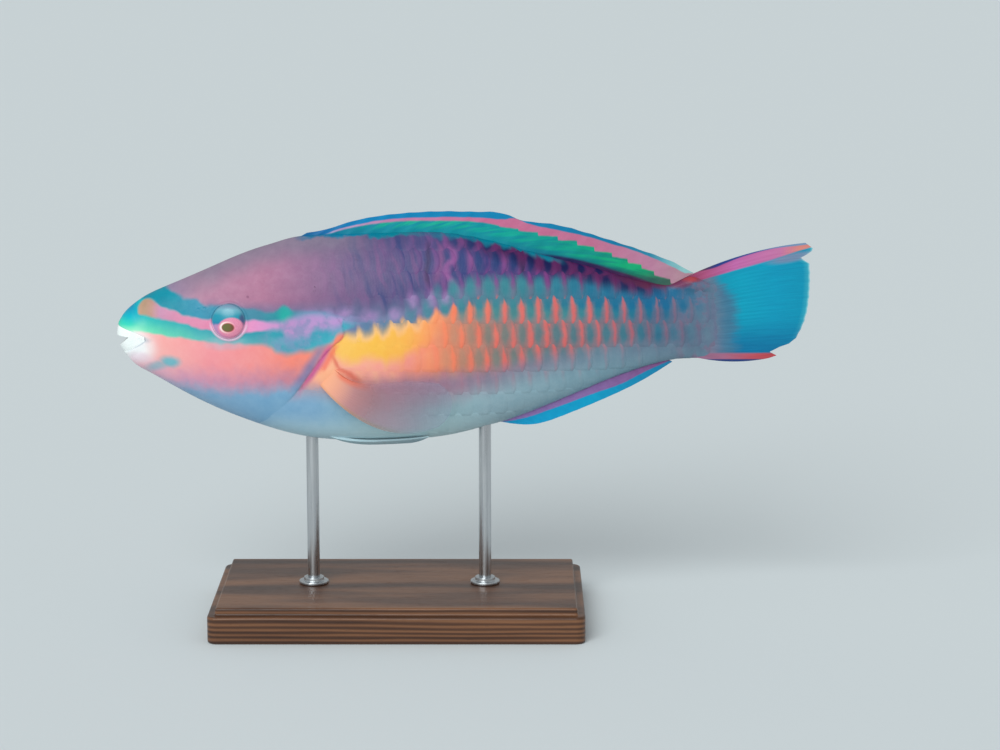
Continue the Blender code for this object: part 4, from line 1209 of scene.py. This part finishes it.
def fin(name, at, count, per_ray, steps, thickness=FIN_ROOT, forks=(), scallop=0, membrane=MEMBRANE):
    """A sheet of rays by steps that is thick along its rays and thin between them."""
    grid = {"x_subdivisions": (count - 1) * per_ray, "y_subdivisions": steps, "size": 1}
    piece = start(name, bpy.ops.mesh.primitive_grid_add, **grid)
    flat = points_of(piece.data)
    ray, reach = flat[:, 0] + 0.5, flat[:, 1] + 0.5
    ridge = ridges(ray, reach, count, forks)
    first = ridges(ray, reach, count, ())
    stretched = reach * (1 - scallop * (1 - first) * rise(reach, 0.5, 1))
    put_points(piece.data, in_scene(at(ray, stretched)))
    thick = piece.vertex_groups.new(name="thick")
    taper = between(thickness, FIN_MARGIN, reach) / thickness
    share = taper * between(membrane, 1, ridge)
    for index, value in enumerate(share):
        thick.add([index], float(value), "REPLACE")
    by_group = {"vertex_group": "thick", "thickness_vertex_group": 0.02, "use_even_offset": False}
    apply(piece, "SOLIDIFY", thickness=thickness * MM, offset=0, **by_group)
    face_outwards(piece)
    smooth(piece, 60)
    return piece


DORSAL_BLUE = (
    (74, 36), (84, 38.8), (88.2, 40.5), (97.8, 43), (109.8, 44.9), (124.6, 45.7), (146.1, 45.6),
    (156, 44.9), (159, 45.4), (162, 44.6), (166, 43), (178, 40.4), (190.5, 37.6), (198.6, 35), (205.8, 33),
    (214.4, 29.7), (220.8, 26.9), (228, 23.2)
)
DORSAL_PINK = (
    (82, 38.4), (88.2, 39.9), (93.8, 41.4), (109.8, 43.8), (128.2, 44.4), (146.1, 43.8), (155, 42.2),
    (165, 40.5), (178.1, 37.9), (185.6, 36), (192.2, 33.6), (199, 31.4), (205, 29.1), (210.3, 26.9),
    (215, 24.4), (221.2, 21.3), (226, 19)
)
DORSAL_TEETH = (  # aft, count of teeth
    (146, -4.2), (162, -2.1), (170, -1.05), (178.1, 0), (185.6, 1), (192.2, 2), (199, 3), (205, 4),
    (210.3, 5), (215, 6), (221.2, 7), (228, 8.2)
)
DORSAL_FLOW = ((84, 0), (110, 13), (130, 21), (150, 26), (170, 28), (190, 27), (228, 19))
# The line below which the rear of the dorsal fin is dark purple: partly its own colour, partly painted shade
# where the fin meets the back
DORSAL_DARK_FOOT = (
    (160, 32.6), (176, 30.4), (184, 29), (192, 27), (200, 24.4), (206, 22.6), (214, 19.8), (222, 17)
)
ANAL_MAUVE = ((152, -36.9), (165, -31.9), (180.8, -25.8), (196.1, -20.3), (212.6, -14.4), (222, -10))
ANAL_BLUE = (
    (152, -38), (163.4, -36.1), (176.7, -31.6), (192.1, -25.8), (202.5, -22.1), (212.6, -16.9), (222, -12.6)
)
TAIL_UPPER = (
    (226, 17.5), (236.4, 21), (243.5, 23), (249.7, 24.9), (255.8, 26.6), (263, 28.7), (270.1, 31.1),
    (276.3, 33.1), (281, 34.6)
)
TAIL_EDGE_LINE = (
    (226, 22.4), (235.3, 24.3), (239.5, 25.3), (244.2, 27.2), (249.4, 29.3), (254.6, 31), (260.3, 32.5),
    (265.5, 33.5), (274.1, 34.4), (281, 35.4)
)


def shaded(colour, streak):
    """A fin's colour made lighter and darker along its rays."""
    grey = streak.shades(((-0.5, 90, 90, 90), (0.5, 166, 166, 166)))
    return colour.lay(grey, 0.75, "SOFT_LIGHT")


def fin_recipe(name, rays, strength=1):
    """A fin's recipe, its (aft, up, vector) and its (ray, reach, streak): streak runs along the rays."""
    mix = Recipe(name, roughness=0.42, specular_ior_level=0.2)
    aft, _, up, vector = mix.place()
    ray, reach = mix.map_parts("UVMap")
    streak = (mix.noise(mix.join(ray * rays, reach * 1.5, 0), 2.2, 3, 0.6) - 0.5) * strength
    return mix, (aft, up, vector), (ray, reach, streak)


def dorsal_finish():
    mix, (aft, up, _), (_, _, streak) = fin_recipe("dorsal_paint", 19)
    flow = mix.noise(mix.join(aft * 0.06, (up - aft.line(DORSAL_FLOW)) * 0.6, 0), 1, 2, 0.6)
    green = aft.shades((
        (84, 40, 148, 172), (96, 10, 168, 170), (110, 34, 192, 162), (150, 6, 182, 168), (176, 0, 172, 154),
        (192, 0, 178, 142), (212, 20, 182, 126), (218, 70, 170, 120), (227, 120, 150, 130)
    ))
    teal = aft.shades((
        (84, 20, 138, 170), (110, 0, 160, 174), (150, 0, 160, 172), (190, 0, 158, 148), (215, 20, 158, 118),
        (227, 90, 130, 110)
    ))
    low = aft.shades((
        (72, 30, 124, 166), (84, 10, 142, 170), (110, 0, 156, 172), (150, 0, 160, 172), (178, 0, 128, 152),
        (192, 0, 108, 132), (206, 20, 110, 104), (222, 70, 110, 96)
    ))
    pink = aft.shades((
        (82, 186, 170, 206), (94, 206, 170, 200), (110, 208, 146, 184), (150, 212, 126, 162),
        (190, 204, 128, 160), (214, 198, 142, 170), (226, 190, 150, 164)
    ))
    blue = aft.shades((
        (72, 30, 116, 166), (84, 16, 126, 182), (100, 0, 148, 198), (150, 0, 148, 192), (200, 10, 134, 174),
        (214, 50, 148, 176), (222, 130, 188, 196), (228, 160, 204, 204)
    ))
    teeth = (aft + (up - 30) * 0.12).line(DORSAL_TEETH)
    tooth = (1 - teeth.maths("FRACT")) * aft.rise(145, 178) * 1.5
    colour = teal.lay(green, flow.rise(0.4, 0.6))
    colour = low.lay(colour, (up + flow * 1.5).over(aft.line(CREST) + 3.4, 3.4))
    # Dark purple low on the fin's rear: partly its own colour, partly painted shade at its foot
    dark_foot_and_shade = aft.rise(164, 178) * (up - aft.line(DORSAL_DARK_FOOT)).rise(0.6, -0.6)
    purple = aft.shades(((164, 30, 50, 112), (184, 44, 30, 92), (204, 78, 36, 88), (222, 96, 48, 82)))
    colour = colour.lay(purple, dark_foot_and_shade)
    colour = colour.lay(pink, (up + tooth + streak * 0.6).over(aft.line(DORSAL_PINK), 0.8))
    colour = colour.lay(blue, (up + streak * 0.6).over(aft.line(DORSAL_BLUE), 0.6))
    return mix.finished(shaded(colour, streak), streak + flow * 0.5, 0.1, 0.4)


def anal_finish():
    mix, (aft, up, _), (_, _, streak) = fin_recipe("anal_paint", 12)
    low = aft.shades(((150, 104, 140, 160), (220, 80, 124, 146)))
    mauve = aft.shades(((152, 168, 140, 196), (190, 154, 122, 178), (220, 146, 98, 150)))
    blue = aft.shades(((150, 20, 168, 212), (190, 0, 172, 208), (222, 30, 140, 180)))
    colour = mauve.lay(low, (up + streak * 0.8).over(aft.line(ANAL_MAUVE), 0.8))
    colour = blue.lay(colour, (up + streak * 0.6).over(aft.line(ANAL_BLUE), 0.6))
    return mix.finished(shaded(colour, streak), streak, 0.12, 0.5)


def tail_finish():
    mix, (aft, up, vector), (_, reach, streak) = fin_recipe("tail_paint", 26, 1.2)
    blue = reach.shades((
        (0.25, 0, 158, 184), (0.5, 0, 170, 196), (0.75, 0, 166, 196), (0.95, 0, 160, 190),
        (0.985, 60, 176, 196), (1, 170, 214, 220)
    ))
    blue = mix.mix((0, 130, 172), blue, up.rise(-9, 8))
    scaled = up.shades(((-10, 136, 134, 158), (0, 128, 138, 158), (16, 108, 138, 160)))
    mauve = mix.noise(vector, 0.2, 3, 0.6, (0.5, 1, 1))
    scaled = scaled.lay((144, 122, 146), mauve.rise(0.45, 0.65) * 0.65)
    scaled = scaled.lay((60, 134, 164), (aft + mauve * 8).rise(242, 250) * 0.8)
    border = aft + streak * 3 + (mauve - 0.5) * 10 + up.rise(12, 22) * 8
    colour = blue.lay(scaled, border.rise(252, 245))
    upper = aft.line(TAIL_UPPER)
    pink = aft.shades((
        (226, 150, 70, 100), (236, 186, 96, 140), (248, 204, 120, 180), (266, 208, 134, 178),
        (274, 224, 150, 140), (281, 218, 146, 140)
    ))
    violet = aft.shades((
        (226, 120, 62, 84), (236, 96, 62, 96), (241, 48, 70, 146), (256, 60, 92, 164), (264, 120, 150, 190),
        (281, 150, 170, 194)
    ))
    grey = spot(aft, up - (aft - 271) * 0.2, (271, 29.5), (8.5, 1.7), 0.5)
    colour = colour.lay((150, 152, 180), grey * 0.75)
    colour = colour.lay(pink, (up + streak * 0.5).over(upper, 0.8))
    colour = colour.lay(violet, up.over(aft.line(TAIL_EDGE_LINE), 0.6))
    low_pink = aft.shades((
        (230, 150, 120, 146), (244, 178, 118, 146), (256, 200, 96, 110), (264, 196, 84, 90)
    ))
    colour = low_pink.lay(colour, (up + streak * 0.5).over(-9.3, 0.9))
    colour = mix.mix((46, 74, 134), colour, up.over(-11.8, 0.5))
    return mix.finished(shaded(colour, streak), streak, 0.1, 0.35)


def pectoral_finish():
    mix, _, (ray, reach, streak) = fin_recipe("pectoral_paint", 14, 0.8)
    streak = streak * reach.rise(0.1, 0.5)
    web = reach.shades((
        (0, 250, 192, 154), (0.1, 238, 178, 154), (0.22, 208, 158, 158), (0.5, 194, 154, 168),
        (0.8, 172, 160, 178), (1, 160, 166, 186)
    ))
    lead = reach.shades((
        (0, 240, 178, 144), (0.2, 206, 164, 144), (0.5, 180, 156, 150), (0.8, 160, 166, 180),
        (1, 156, 168, 186)
    ))
    colour = web.lay(lead, ray.rise(0.14, 0.02))
    # Painted shadow along the fin's upper edge near its root, in orange-red
    painted_fin_root_shadow = ray.rise(0.72, 0.96) * reach.rise(0.42, 0.16) * reach.rise(0.03, 0.1)
    colour = colour.lay((240, 136, 108), painted_fin_root_shadow * 0.75)
    solid = (ray.rise(0.1, 0) * reach.rise(0.9, 0.3) * 0.3).maths("MAXIMUM", reach.rise(0.46, 0.12))
    thin = reach.rise(0.6, 1).maths("MAXIMUM", ray.rise(0.7, 1) * reach.rise(0.3, 0.5)) * 0.2
    mix.feed("Alpha", (solid * 0.6 + streak * 0.12 + 0.38 - thin).maths("MINIMUM", 1))
    return mix.finished(shaded(colour, streak), streak, 0.04, 0.2)


def pelvic_finish():
    mix, _, (ray, reach, streak) = fin_recipe("pelvic_paint", 6)
    colour = reach.shades((
        (0, 176, 204, 212), (0.5, 186, 208, 214), (0.85, 180, 204, 212), (1, 170, 198, 208)
    ))
    colour = colour.lay((196, 216, 222), ray.rise(0.16, 0.05))
    return mix.finished(shaded(colour, streak), streak, 0.12, 0.5)


def make_fins():
    dorsal = median_fin(DORSAL_BASE, DORSAL_RAKE, DORSAL_MARGIN, BACK, -1)
    piece = fin("dorsal_rays", dorsal, count=20, per_ray=10, steps=24, scallop=0.012)
    hand_over(piece, dorsal_finish(), "fin_pink", "dorsal_fin")
    anal = median_fin(ANAL_BASE, ANAL_RAKE, ANAL_MARGIN, BELLY, 1)
    piece = fin("anal_rays", anal, count=13, per_ray=10, steps=24, forks=(0.7,), scallop=0.004)
    hand_over(piece, anal_finish(), "fin_blue", "anal_fin")
    tail_margin = margin_curve(TAIL_MARGIN)

    def tail(ray, reach):
        aft, up = fan_point(TAIL_ROOT, tail_margin, TAIL_BOW, ray, reach)
        return np.stack([aft, np.zeros_like(aft), up], axis=-1)

    forking = {"forks": (0.45, 0.75), "scallop": 0.003, "membrane": 0.9}
    piece = fin("tail_rays", tail, count=15, per_ray=24, steps=60, thickness=1.5, **forking)
    hand_over(piece, tail_finish(), "fin_blue", "tail_fin")
    pectoral_margin = margin_curve(PECTORAL_MARGIN)
    root_out = min(float(flank_out(*root)) for root in PECTORAL_ROOT) - PECTORAL_SUNK
    pale, belly_pale = pectoral_finish(), pelvic_finish()
    for name, side in SIDES.items():

        def pectoral(ray, reach, side=side):
            aft, up = fan_point(PECTORAL_ROOT, pectoral_margin, PECTORAL_BOW, ray, reach, PECTORAL_LEAN)
            out = root_out + (PECTORAL_SUNK + PECTORAL_FLARE) * np.sin(np.sqrt(reach) * np.pi / 2)
            return np.stack([aft, side * out, up], axis=-1)

        def pelvic(ray, reach, side=side):
            outer, inner = np.array(PELVIC_OUTER_RAY), np.array(PELVIC_INNER_RAY)
            ends = outer + (inner - outer) * ray[:, None, None]
            places = ends[:, 0] + (ends[:, 1] - ends[:, 0]) * reach[:, None]
            emerged = np.sqrt(np.sin(np.minimum(reach * 2, 1) * np.pi / 2))
            up = underside_up(places[:, 0], places[:, 1]) + between(PELVIC_SUNK, -PELVIC_DROP, emerged)
            return np.stack([places[:, 0], side * places[:, 1], up], axis=-1)

        thin = {"thickness": 1.2, "scallop": 0.004, "membrane": 0.94}
        piece = fin(f"pectoral_rays_{name}", pectoral, count=14, per_ray=12, steps=40, **thin)
        hand_over(piece, pale, "fin_pale", f"pectoral_fin_{name}")
        folded = {"thickness": PELVIC_THICKNESS, "forks": (0.6,)}
        piece = fin(f"pelvic_rays_{name}", pelvic, count=6, per_ray=10, steps=30, **folded)
        hand_over(piece, belly_pale, "fin_pale", f"pelvic_fin_{name}")


# Eyes and beak


def eye_finish():
    mix = Recipe("eye_glass", roughness=0.34, coat_weight=0.28, coat_roughness=0.2, specular_ior_level=0.25)
    aft, _, up, vector = mix.place()
    ripple = mix.noise(vector, 1, 3, 0.6) - 0.5
    fine = mix.noise(vector, 2.6, 2, 0.6) - 0.5
    x, y = aft - EYE_AFT, up - EYE_UP
    low = y + 2
    outside = (x * x + y * y) ** 0.5
    under = x.shades(((-6.6, 170, 140, 186), (-3, 208, 132, 176), (2, 206, 122, 160), (6.6, 158, 96, 134)))
    # The eye's upper part: its own teal, with a painted highlight in the pale stops near the top
    upper_eye_and_highlight = y.shades((
        (-2, 50, 104, 164), (0.5, 30, 142, 168), (2.6, 30, 146, 168), (4.8, 112, 172, 188),
        (6.4, 122, 142, 170)
    ))
    colour = under.lay(upper_eye_and_highlight, (y + ripple * 1.2 - x * 0.12).over(-0.4, 1.4))
    # Painted shade at the rear of the eye, in the groove between the eye and its socket
    colour = colour.lay((70, 76, 120), spot(x, y, (5.6, 1.2), (1.2, 2), 0.6) * 0.85)
    iris = spot(x + ripple * 0.3, low - x * 0.1, (0.9, 0), (4.9, 3.8), 0.1)
    colour = colour.lay(mix.mix((238, 150, 178), (222, 128, 158), fine * 3 + 0.5), iris)
    ring = spot(x, low, (-0.2, 0), (3.1, 2.35), 0.16)
    pearl = (x - low * 0.5).shades(((-3, 255, 240, 232), (0, 250, 196, 196), (2.6, 240, 150, 166)))
    colour = colour.lay(pearl, ring)
    colour = colour.lay((206, 110, 120), spot(x, low, (0, 0), (2.62, 1.92), 0.06))
    pupil = spot(x, low, (-0.05, 0), (2.36, 1.66), 0.08)
    colour = colour.lay(x.shades(((-2.3, 104, 108, 60), (0.6, 110, 100, 56), (2.3, 120, 62, 48))), pupil)
    rim = outside.rise(EYE_RADIUS - 0.9, EYE_RADIUS - 0.3)
    colour = colour.lay((236, 178, 204), rim * y.rise(0.5, -2))
    colour = colour.lay((96, 148, 170), rim * y.rise(-2, 0.5) * 0.5)
    mix.feed("Base Color", colour)
    return mix.material


def make_eyes():
    glass = eye_finish()
    for name, side in SIDES.items():
        size = {"segments": 64, "ring_count": 40, "radius": 1}
        ball = start(f"eyeball_{name}", bpy.ops.mesh.primitive_uv_sphere_add, **size)
        unit = points_of(ball.data)
        seat, (aftwards, upwards, outwards) = eye_frame(side)
        depth = np.where(unit[:, 2] > 0, EYE_DOME, EYE_DEPTH) * unit[:, 2] + EYE_SEAT
        flat = unit[:, :1] * aftwards + unit[:, 1:2] * upwards
        places = seat + EYE_RADIUS * flat + depth[:, None] * outwards
        put_points(ball.data, in_scene(places))
        face_outwards(ball)
        smooth(ball)
        hand_over(ball, glass, "eye", f"eye_{name}")


def snout_front():
    """How far aft the snout's outline lies at each height, as a function of up."""
    afts = np.linspace(0, 16, 400)
    station = station_of(afts)
    heights = np.concatenate([BELLY(station)[::-1], BACK(station)[1:]])
    return lambda up: np.interp(up, heights, np.concatenate([afts[::-1], afts[1:]]))


def beak_finish():
    mix = Recipe("tooth_plate", roughness=0.22, specular_ior_level=0.55, coat_weight=0.3, coat_roughness=0.1)
    _, out, _, vector = mix.place()
    cells = {"Vector": vector, "Scale": 1.1}
    to_edge = mix.node("ShaderNodeTexVoronoi", {"feature": "DISTANCE_TO_EDGE"}, cells, "Distance")
    seam = to_edge.rise(0.16, 0.02)
    colour = mix.noise(vector, 0.4, 3).shades(((0.3, 248, 253, 250), (0.7, 254, 255, 254)))
    colour = colour.lay((222, 232, 228), seam * 0.25)
    colour = colour.lay((200, 214, 210), out.bell(0.35) * 0.6)
    return mix.finished(colour, seam * -1, 0.04, 0.4)


def make_beak():
    """Two plates of fused teeth, each a sheet round the snout from one mouth corner to the other."""
    finish = beak_finish()
    front = snout_front()
    for name, lip, edge in (("upper", UPPER_LIP, UPPER_EDGE), ("lower", LOWER_LIP, LOWER_EDGE)):
        grid = {"x_subdivisions": 90, "y_subdivisions": 20, "size": 2}
        plate = start(f"tooth_plate_{name}", bpy.ops.mesh.primitive_grid_add, **grid)
        flat = points_of(plate.data)
        turn, drop = flat[:, 0], between(-0.25, 1, flat[:, 1] / 2 + 0.5)
        lip_line, edge_line = straight_line(lip), straight_line(edge)
        aft = 4
        for _ in range(12):  # until each point's station and height agree
            up = between(lip_line(aft), edge_line(aft), drop)
            start_aft = front(up)
            aft = start_aft + (MOUTH_CORNER[0] - 0.3 - start_aft) * turn**2
        out = np.sign(turn) * flank_out(aft, up)
        points = np.stack([aft, out, up], axis=-1)
        tooth = np.abs(np.sin(turn * TEETH))
        sunk = 0.1 + 0.35 * rise(drop, 0.2, -0.25) + 0.1 * bell(turn, 0.03)
        sunk = sunk - 0.05 * tooth * rise(drop, 0.6, 1)
        points = points + to_mouth(points) * sunk[:, None]
        points[:, 2] += (0.06 * tooth * rise(drop, 0.85, 1)) * (1 if name == "lower" else -1)
        put_points(plate.data, in_scene(points))
        face_outwards(plate)
        apply(plate, "SOLIDIFY", thickness=TOOTH_THICKNESS * MM, offset=-1)
        sharp = {"limit_method": "ANGLE", "angle_limit": math.radians(50)}
        apply(plate, "BEVEL", width=TOOTH_ROUNDING * MM, segments=2, **sharp)
        face_outwards(plate)
        smooth(plate, 60)
        hand_over(plate, finish, "beak", f"beak_{name}")


# The stand


def walnut_finish():
    mix = Recipe("oiled_walnut", roughness=0.4, specular_ior_level=0.4)
    here = mix.node("ShaderNodeTexCoord", {}, {}, "Object")
    sawn = {"Vector": here, "Scale": (9, 60, 130), "Rotation": (0.12, 0.05, 0.02)}
    board = mix.node("ShaderNodeMapping", {}, sawn)
    figure = mix.noise(board, 1, 4, 0.6)
    grain = {"Vector": board, "Scale": 1.1, "Distortion": 9, "Detail": 3, "Detail Scale": 0.5}
    rings = mix.node("ShaderNodeTexWave", {"bands_direction": "Z"}, grain, "Fac")
    pores = mix.noise(here, 1, 3, 0.7, (160, 2600, 2600))
    colour = (figure * 0.6 + rings * 0.4).shades((
        (0.25, 58, 34, 22), (0.5, 92, 58, 38), (0.75, 126, 84, 56)
    ))
    mix.feed("Roughness", pores.rise(0.5, 0.75) * 0.2 + 0.34)
    colour = colour.lay((38, 22, 14), pores.rise(0.62, 0.74) * 0.7)
    return mix.finished(colour, pores * -1 + rings * 0.2, 0.12, 0.5)


def steel_finish():
    mix = Recipe("brushed_steel", metallic=1, roughness=0.3)
    here = mix.node("ShaderNodeTexCoord", {}, {}, "Object")
    brushed = mix.noise(here, 1, 3, 0.6, (900, 900, 26))
    mix.feed("Roughness", brushed.rise(0.3, 0.7) * 0.16 + 0.22)
    return mix.finished(brushed.shades(((0.3, 176, 178, 182), (0.7, 206, 208, 210))), brushed, 0.05, 0.3)


def upright(name, aft, bottom, top, radius):
    place = ((SNOUT_X + aft) * MM, 0, (bottom + top) / 2 * MM)
    size = {"vertices": 48, "radius": radius * MM, "depth": (top - bottom) * MM, "location": place}
    return start(name, bpy.ops.mesh.primitive_cylinder_add, **size)


def round_off(piece, width, segments=3, angle=30):
    """Rounds every edge that is sharper than the angle."""
    edit(piece, "EDGE")
    bpy.ops.mesh.edges_select_sharp(sharpness=math.radians(angle))
    bpy.ops.mesh.bevel(offset=width * MM, segments=segments, affect="EDGES")
    close()


def divide(piece, axis, places):
    """Cuts a piece across by flat planes, so that no face of it is large."""
    edit(piece)
    normal = [float(axis == other) for other in range(3)]
    for place in places:
        bpy.ops.mesh.select_all(action="SELECT")
        bpy.ops.mesh.bisect(plane_co=[share * place * MM for share in normal], plane_no=normal)
    close()


def step_up(piece, inset, height):
    """Insets a piece's top face and raises it."""
    edit(piece, test=lambda face: face.normal.z > 0.9)
    bpy.ops.mesh.inset(thickness=inset * MM)
    bpy.ops.mesh.extrude_region_move(TRANSFORM_OT_translate={"value": (0, 0, height * MM)})
    close()


def make_base(walnut):
    """A block with rounded corners and a stepped, softened top edge."""
    block_height = STAND_HEIGHT - BASE_STEP
    base = start("stand_block", bpy.ops.mesh.primitive_cube_add, size=MM)
    base.location.z = block_height / 2 * MM
    base.scale = (STAND_LENGTH, STAND_WIDTH, block_height)
    settle(base)

    def is_corner(edge):
        ends = [base.data.vertices[v].co for v in edge.vertices]
        return abs(ends[0].z - ends[1].z) > MM

    edit(base, "EDGE", is_corner)
    bpy.ops.mesh.bevel(offset=BASE_CORNER * MM, segments=8, affect="EDGES")
    close()
    step_up(base, BASE_INSET, BASE_STEP)
    round_off(base, BASE_ROUNDING, 4, 50)
    for axis, length in enumerate((STAND_LENGTH, STAND_WIDTH)):
        reach = length / 2 - BASE_UNCUT
        divide(base, axis, np.linspace(-reach, reach, round(reach / BASE_CUT_STEP)))
    settle(base)
    smooth(base, 35)
    apply(base, "WEIGHTED_NORMAL", keep_sharp=True)
    hand_over(base, walnut, "walnut", "stand_base")


def make_stand():
    steel = steel_finish()
    make_base(walnut_finish())

    def hand_over_steel(piece, rounding, node):
        round_off(piece, rounding)
        settle(piece)
        smooth(piece, 35)
        hand_over(piece, steel, "steel", node)

    for name, aft in ROD_AFT.items():
        bottom = STAND_HEIGHT - ROD_HOLE_DEPTH + GAP
        top = AXIS_HEIGHT + float(BELLY(station_of(aft))) + ROD_HOLE_DEPTH - GAP
        rod = upright(f"rod_{name}", aft, bottom, top, ROD_RADIUS)
        hand_over_steel(rod, ROD_ROUNDING, f"stand_rod_{name}")
        foot = STAND_HEIGHT + GAP / 3
        collar = upright(f"collar_{name}", aft, foot, foot + FLANGE_HEIGHT, COLLAR_RADIUS)
        step_up(collar, FLANGE_WIDTH, NECK_HEIGHT)
        hand_over_steel(collar, COLLAR_ROUNDING, f"stand_collar_{name}")


# The studio

FLOOR_SIZE = 12
SUN_STRENGTH, SUN_BREADTH, SUN_TURN, SUN_COLOUR = 2.1, 40, (54, 0, -22), (0.94, 1, 1)
SKY_STRENGTH, SKY_COLOUR = 0.5, (0.91, 0.98, 1, 1)
CAMERA_AIM, CAMERA_DISTANCE, CAMERA_RISE, CAMERA_LENS = (0.0411, 0, 0.1006), 1.1208, 11, 100


def make_floor():
    floor = start("floor", bpy.ops.mesh.primitive_plane_add, size=FLOOR_SIZE)
    mix = Recipe("pale_floor", roughness=0.85, specular_ior_level=0.2)
    mix.shader.inputs["Base Color"].default_value = paint(218, 222, 224)
    floor.data.materials.append(mix.material)


def make_studio():
    make_floor()
    sun = bpy.data.lights.new("window", "SUN")
    sun.energy = SUN_STRENGTH
    sun.angle = math.radians(SUN_BREADTH)
    sun.color = SUN_COLOUR
    holder = bpy.data.objects.new("window", sun)
    bpy.context.scene.collection.objects.link(holder)
    holder.rotation_euler = [math.radians(turn) for turn in SUN_TURN]
    world = bpy.data.worlds.new("studio")
    world.use_nodes = True
    sky = world.node_tree.nodes["Background"].inputs
    sky["Color"].default_value = SKY_COLOUR
    sky["Strength"].default_value = SKY_STRENGTH
    scene = bpy.context.scene
    scene.world = world
    scene.view_settings.view_transform = "Standard"
    optics = bpy.data.cameras.new("camera")
    optics.lens = CAMERA_LENS
    camera = bpy.data.objects.new("camera", optics)
    scene.collection.objects.link(camera)
    slope = math.radians(CAMERA_RISE)
    back = np.array([0, -math.cos(slope), math.sin(slope)]) * CAMERA_DISTANCE
    camera.location = np.array(CAMERA_AIM) + back
    camera.rotation_euler = (math.pi / 2 - slope, 0, 0)
    scene.camera = camera


def main():
    make_studio()
    make_skin()
    make_scales()
    make_fins()
    make_eyes()
    make_beak()
    make_stand()


main()
